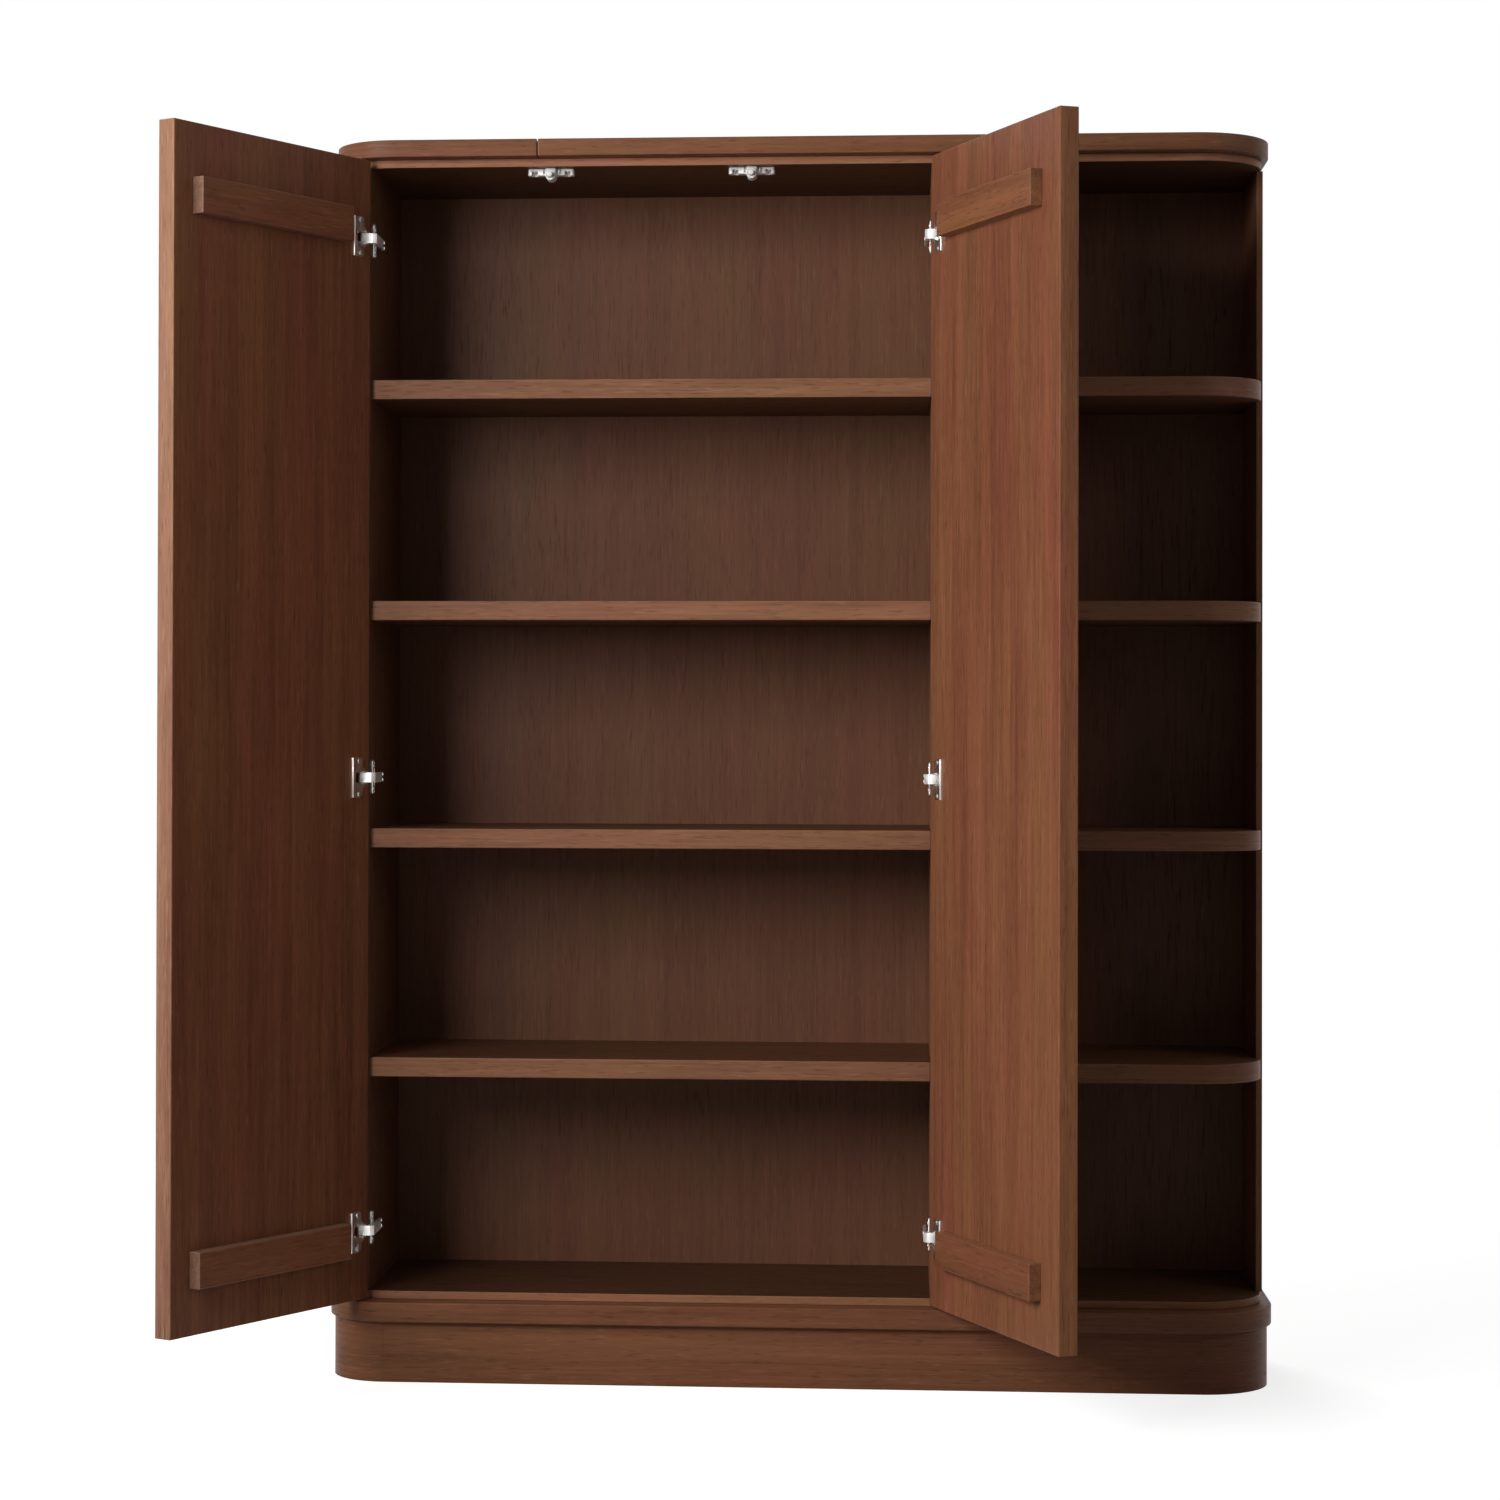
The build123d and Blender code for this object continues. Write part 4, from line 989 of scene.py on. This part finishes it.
def model_latch_body():
    """One latch body at x = 0: a wing to each side, notched for a screw, and a bored barrel."""
    body = block(
        "latch", (-LATCH_HALF, wing_front, under - WING_HEIGHT),
        (LATCH_HALF, wing_front + WING_DEPTH, under))
    round_edges(body, lambda a, b: abs(a.z - b.z) > WING_HEIGHT / 2, WING_ROUND, 5)
    barrel = rod("barrel", (0, barrel_front, barrel_z), BARREL_LENGTH, BARREL_RADIUS, "Y", 48)
    edit_faces(barrel, lambda centre, normal: normal.y < -0.9)
    bpy.ops.mesh.inset(thickness=MOUTH_EDGE)
    bpy.ops.mesh.extrude_region_move(TRANSFORM_OT_translate={"value": (0, MOUTH_DEPTH, 0)})
    leave_edit()
    combine(body, barrel, "UNION")
    saddle = block(
        "saddle", (-BARREL_RADIUS * 0.98, barrel_front + 0.003, barrel_z),
        (BARREL_RADIUS * 0.98, barrel_front + BARREL_LENGTH - 0.0006, under - 2 * HAIR))
    combine(body, saddle, "UNION")
    bore = rod("bore", (0, barrel_front - 0.01, barrel_z), BORE_DEPTH + 0.01, BORE_RADIUS, "Y", 40)
    combine(body, bore, "DIFFERENCE")
    for side in (-1, 1):
        middle = side * LATCH_SCREW_OUT
        notch = block(
            "notch", (middle - NOTCH_HALF, wing_front - 0.001, under - WING_HEIGHT - 0.001),
            (middle + NOTCH_HALF, wing_front + WING_DEPTH - 0.003, under - LATCH_FLOOR))
        round_edges(notch, lambda a, b: abs(a.z - b.z) > 0.003 and a.y > wing_front, NOTCH_ROUND, 5)
        combine(body, notch, "DIFFERENCE")
        hole = rod(
            "hole", (middle, wing_front + WING_DEPTH / 2, under - 0.01), 0.02, SCREW_HOLE, "Z", 24)
        combine(body, hole, "DIFFERENCE")
        rib = block(
            "rib", (side * RIB_OUT - RIB_HALF, wing_front - 0.0035, under - 0.0075),
            (side * RIB_OUT + RIB_HALF, wing_front + 0.002, under - 0.0004))
        combine(body, rib, "UNION")
    tidy_mesh(body)
    soften(body, 0.0003, 2)
    return body


PLUNGER_RADIUS = 0.0043
PLUNGER_HEAD = 0.014
PLUNGER_CLEARANCE = 0.001
PLUNGER_STEM = 0.0016
GROOVE_START = 0.0042
GROOVE_END = 0.0054
GROOVE_NECK = 0.90
TIP_ROUND = 0.0022
plunger_tip = door_face + PLUNGER_CLEARANCE


def model_plunger():
    """One plunger at x = 0: a round-nosed head with a ring groove, and a thin stem in the spring."""
    plunger = rod("plunger", (0, plunger_tip, barrel_z), PLUNGER_HEAD, PLUNGER_RADIUS, "Y", 40)
    edit_faces(plunger, lambda centre, normal: normal.y > 0.9)
    bpy.ops.mesh.inset(thickness=PLUNGER_RADIUS - PLUNGER_STEM)
    stem_end = span("latch_plunger_left")[1].y
    bpy.ops.mesh.extrude_region_move(
        TRANSFORM_OT_translate={"value": (0, stem_end - plunger_tip - PLUNGER_HEAD, 0)})
    leave_edit()
    round_edges(plunger, lambda a, b: max(a.y, b.y) < plunger_tip + HAIR / 10, TIP_ROUND, 5)
    for along in (GROOVE_START, GROOVE_END):
        only(plunger)
        bpy.ops.object.mode_set(mode="EDIT")
        bpy.ops.mesh.select_all(action="SELECT")
        bpy.ops.mesh.bisect(plane_co=(0, plunger_tip + along, 0), plane_no=(0, 1, 0))
        leave_edit()
    edit_faces(
        plunger, lambda centre, normal:
        abs(normal.y) < 0.1 and GROOVE_START < centre.y - plunger_tip < GROOVE_END)
    bpy.ops.mesh.inset(thickness=0.00005)
    bpy.ops.transform.resize(
        value=(GROOVE_NECK, 1.0, GROOVE_NECK), center_override=(0, plunger_tip, barrel_z))
    leave_edit()
    tidy_mesh(plunger)
    only(plunger)
    bpy.ops.object.shade_smooth_by_angle(angle=math.radians(35))
    return plunger


WIRE_RADIUS = 0.00045
SPRING_TURNS = 7


def model_spring():
    """One coil spring at x = 0: a round wire wound round the plunger's stem."""
    low, high = span("latch_spring_left")
    coil_radius = (high.x - low.x) / 2 - WIRE_RADIUS
    run = high.y - low.y - 2 * WIRE_RADIUS
    bpy.ops.object.select_all(action="DESELECT")
    bpy.ops.mesh.primitive_circle_add(
        vertices=8, radius=WIRE_RADIUS, fill_type="NOTHING", location=(coil_radius, 0, 0),
        rotation=(math.radians(90), 0, 0))
    coil = bpy.context.object
    bpy.ops.object.transform_apply(location=True, rotation=True, scale=True)
    winding = coil.modifiers.new("winding", "SCREW")
    winding.axis = "Z"
    winding.angle = math.radians(360)
    winding.screw_offset = run / SPRING_TURNS
    winding.iterations = SPRING_TURNS
    winding.steps = 20
    winding.render_steps = 20
    winding.use_merge_vertices = False
    bpy.ops.object.modifier_apply(modifier=winding.name)
    only(coil)
    bpy.ops.object.mode_set(mode="EDIT")
    bpy.ops.mesh.select_all(action="SELECT")
    bpy.ops.mesh.remove_doubles(threshold=HAIR)
    bpy.ops.mesh.select_all(action="DESELECT")
    bpy.ops.mesh.select_mode(type="VERT")
    bpy.ops.mesh.select_non_manifold()
    bpy.ops.mesh.edge_face_add()
    bpy.ops.mesh.select_all(action="SELECT")
    bpy.ops.mesh.normals_make_consistent(inside=False)
    leave_edit()
    coil.data.transform(
        Matrix.Translation((0, low.y + WIRE_RADIUS, barrel_z)) @ Matrix.Rotation(math.radians(-90), 4, "X"))
    bpy.ops.object.shade_smooth()
    return coil


latch_body, plunger, coil = model_latch_body(), model_plunger(), model_spring()
facing_down = Matrix.Rotation(math.radians(180), 4, "X")
for side in ("left", "right"):
    low, high = span(f"latch_housing_{side}")
    along = Matrix.Translation(((low.x + high.x) / 2, 0, 0))
    fit(copied(latch_body, f"{side}_latch_body", along), "root", silver_plastic,
        f"latch_housing_{side}")
    fit(copied(plunger, f"{side}_latch_plunger", along), f"latch_plunger_{side}",
        pale_plastic, f"latch_plunger_{side}")
    fit(copied(coil, f"{side}_latch_spring", along), "root", spring_wire,
        f"latch_spring_{side}")
    for word, out in (("left", -1), ("right", 1)):
        seat = Matrix.Translation(
            (out * LATCH_SCREW_OUT, wing_front + WING_DEPTH / 2, under - LATCH_FLOOR))
        fit(copied(wall_screw, f"{side}_latch_screw_{word}", along @ seat @ facing_down), "root",
            screw_zinc, "latch_screws")
for spare in (latch_body, plunger, coil, wall_screw):
    bpy.data.objects.remove(spare)


# Dowels. Pegs of turned beech join the shelves and the uprights to the boards that they meet. Each
# is glued into bored holes.
BEECH_DARK = (0.52, 0.36, 0.22, 1.0)
BEECH_PALE = (0.70, 0.52, 0.34, 1.0)
beech = bpy.data.materials.new("dowel_beech")
beech.use_nodes = True
beech_work = Shading(beech.node_tree)
beech_place = beech_work.add("TexCoord").outputs["Object"]
beech_fleck = beech_work.noise(beech_work.scaled(beech_place, 60.0, 700.0, 700.0), 1.0, 3.0)
beech_colour = beech_work.blend(beech_fleck, BEECH_DARK, BEECH_PALE)
beech_rough = beech_work.math("MULTIPLY_ADD", beech_fleck, 0.2, 0.5)
beech_surface = beech.node_tree.nodes["Principled BSDF"].inputs
beech.node_tree.links.new(beech_colour, beech_surface["Base Color"])
beech.node_tree.links.new(beech_rough, beech_surface["Roughness"])
for node in ("left_shelf_dowels", "divider_shelf_dowels", "side_shelf_dowels", "upright_dowels"):
    finish_node(node, beech)
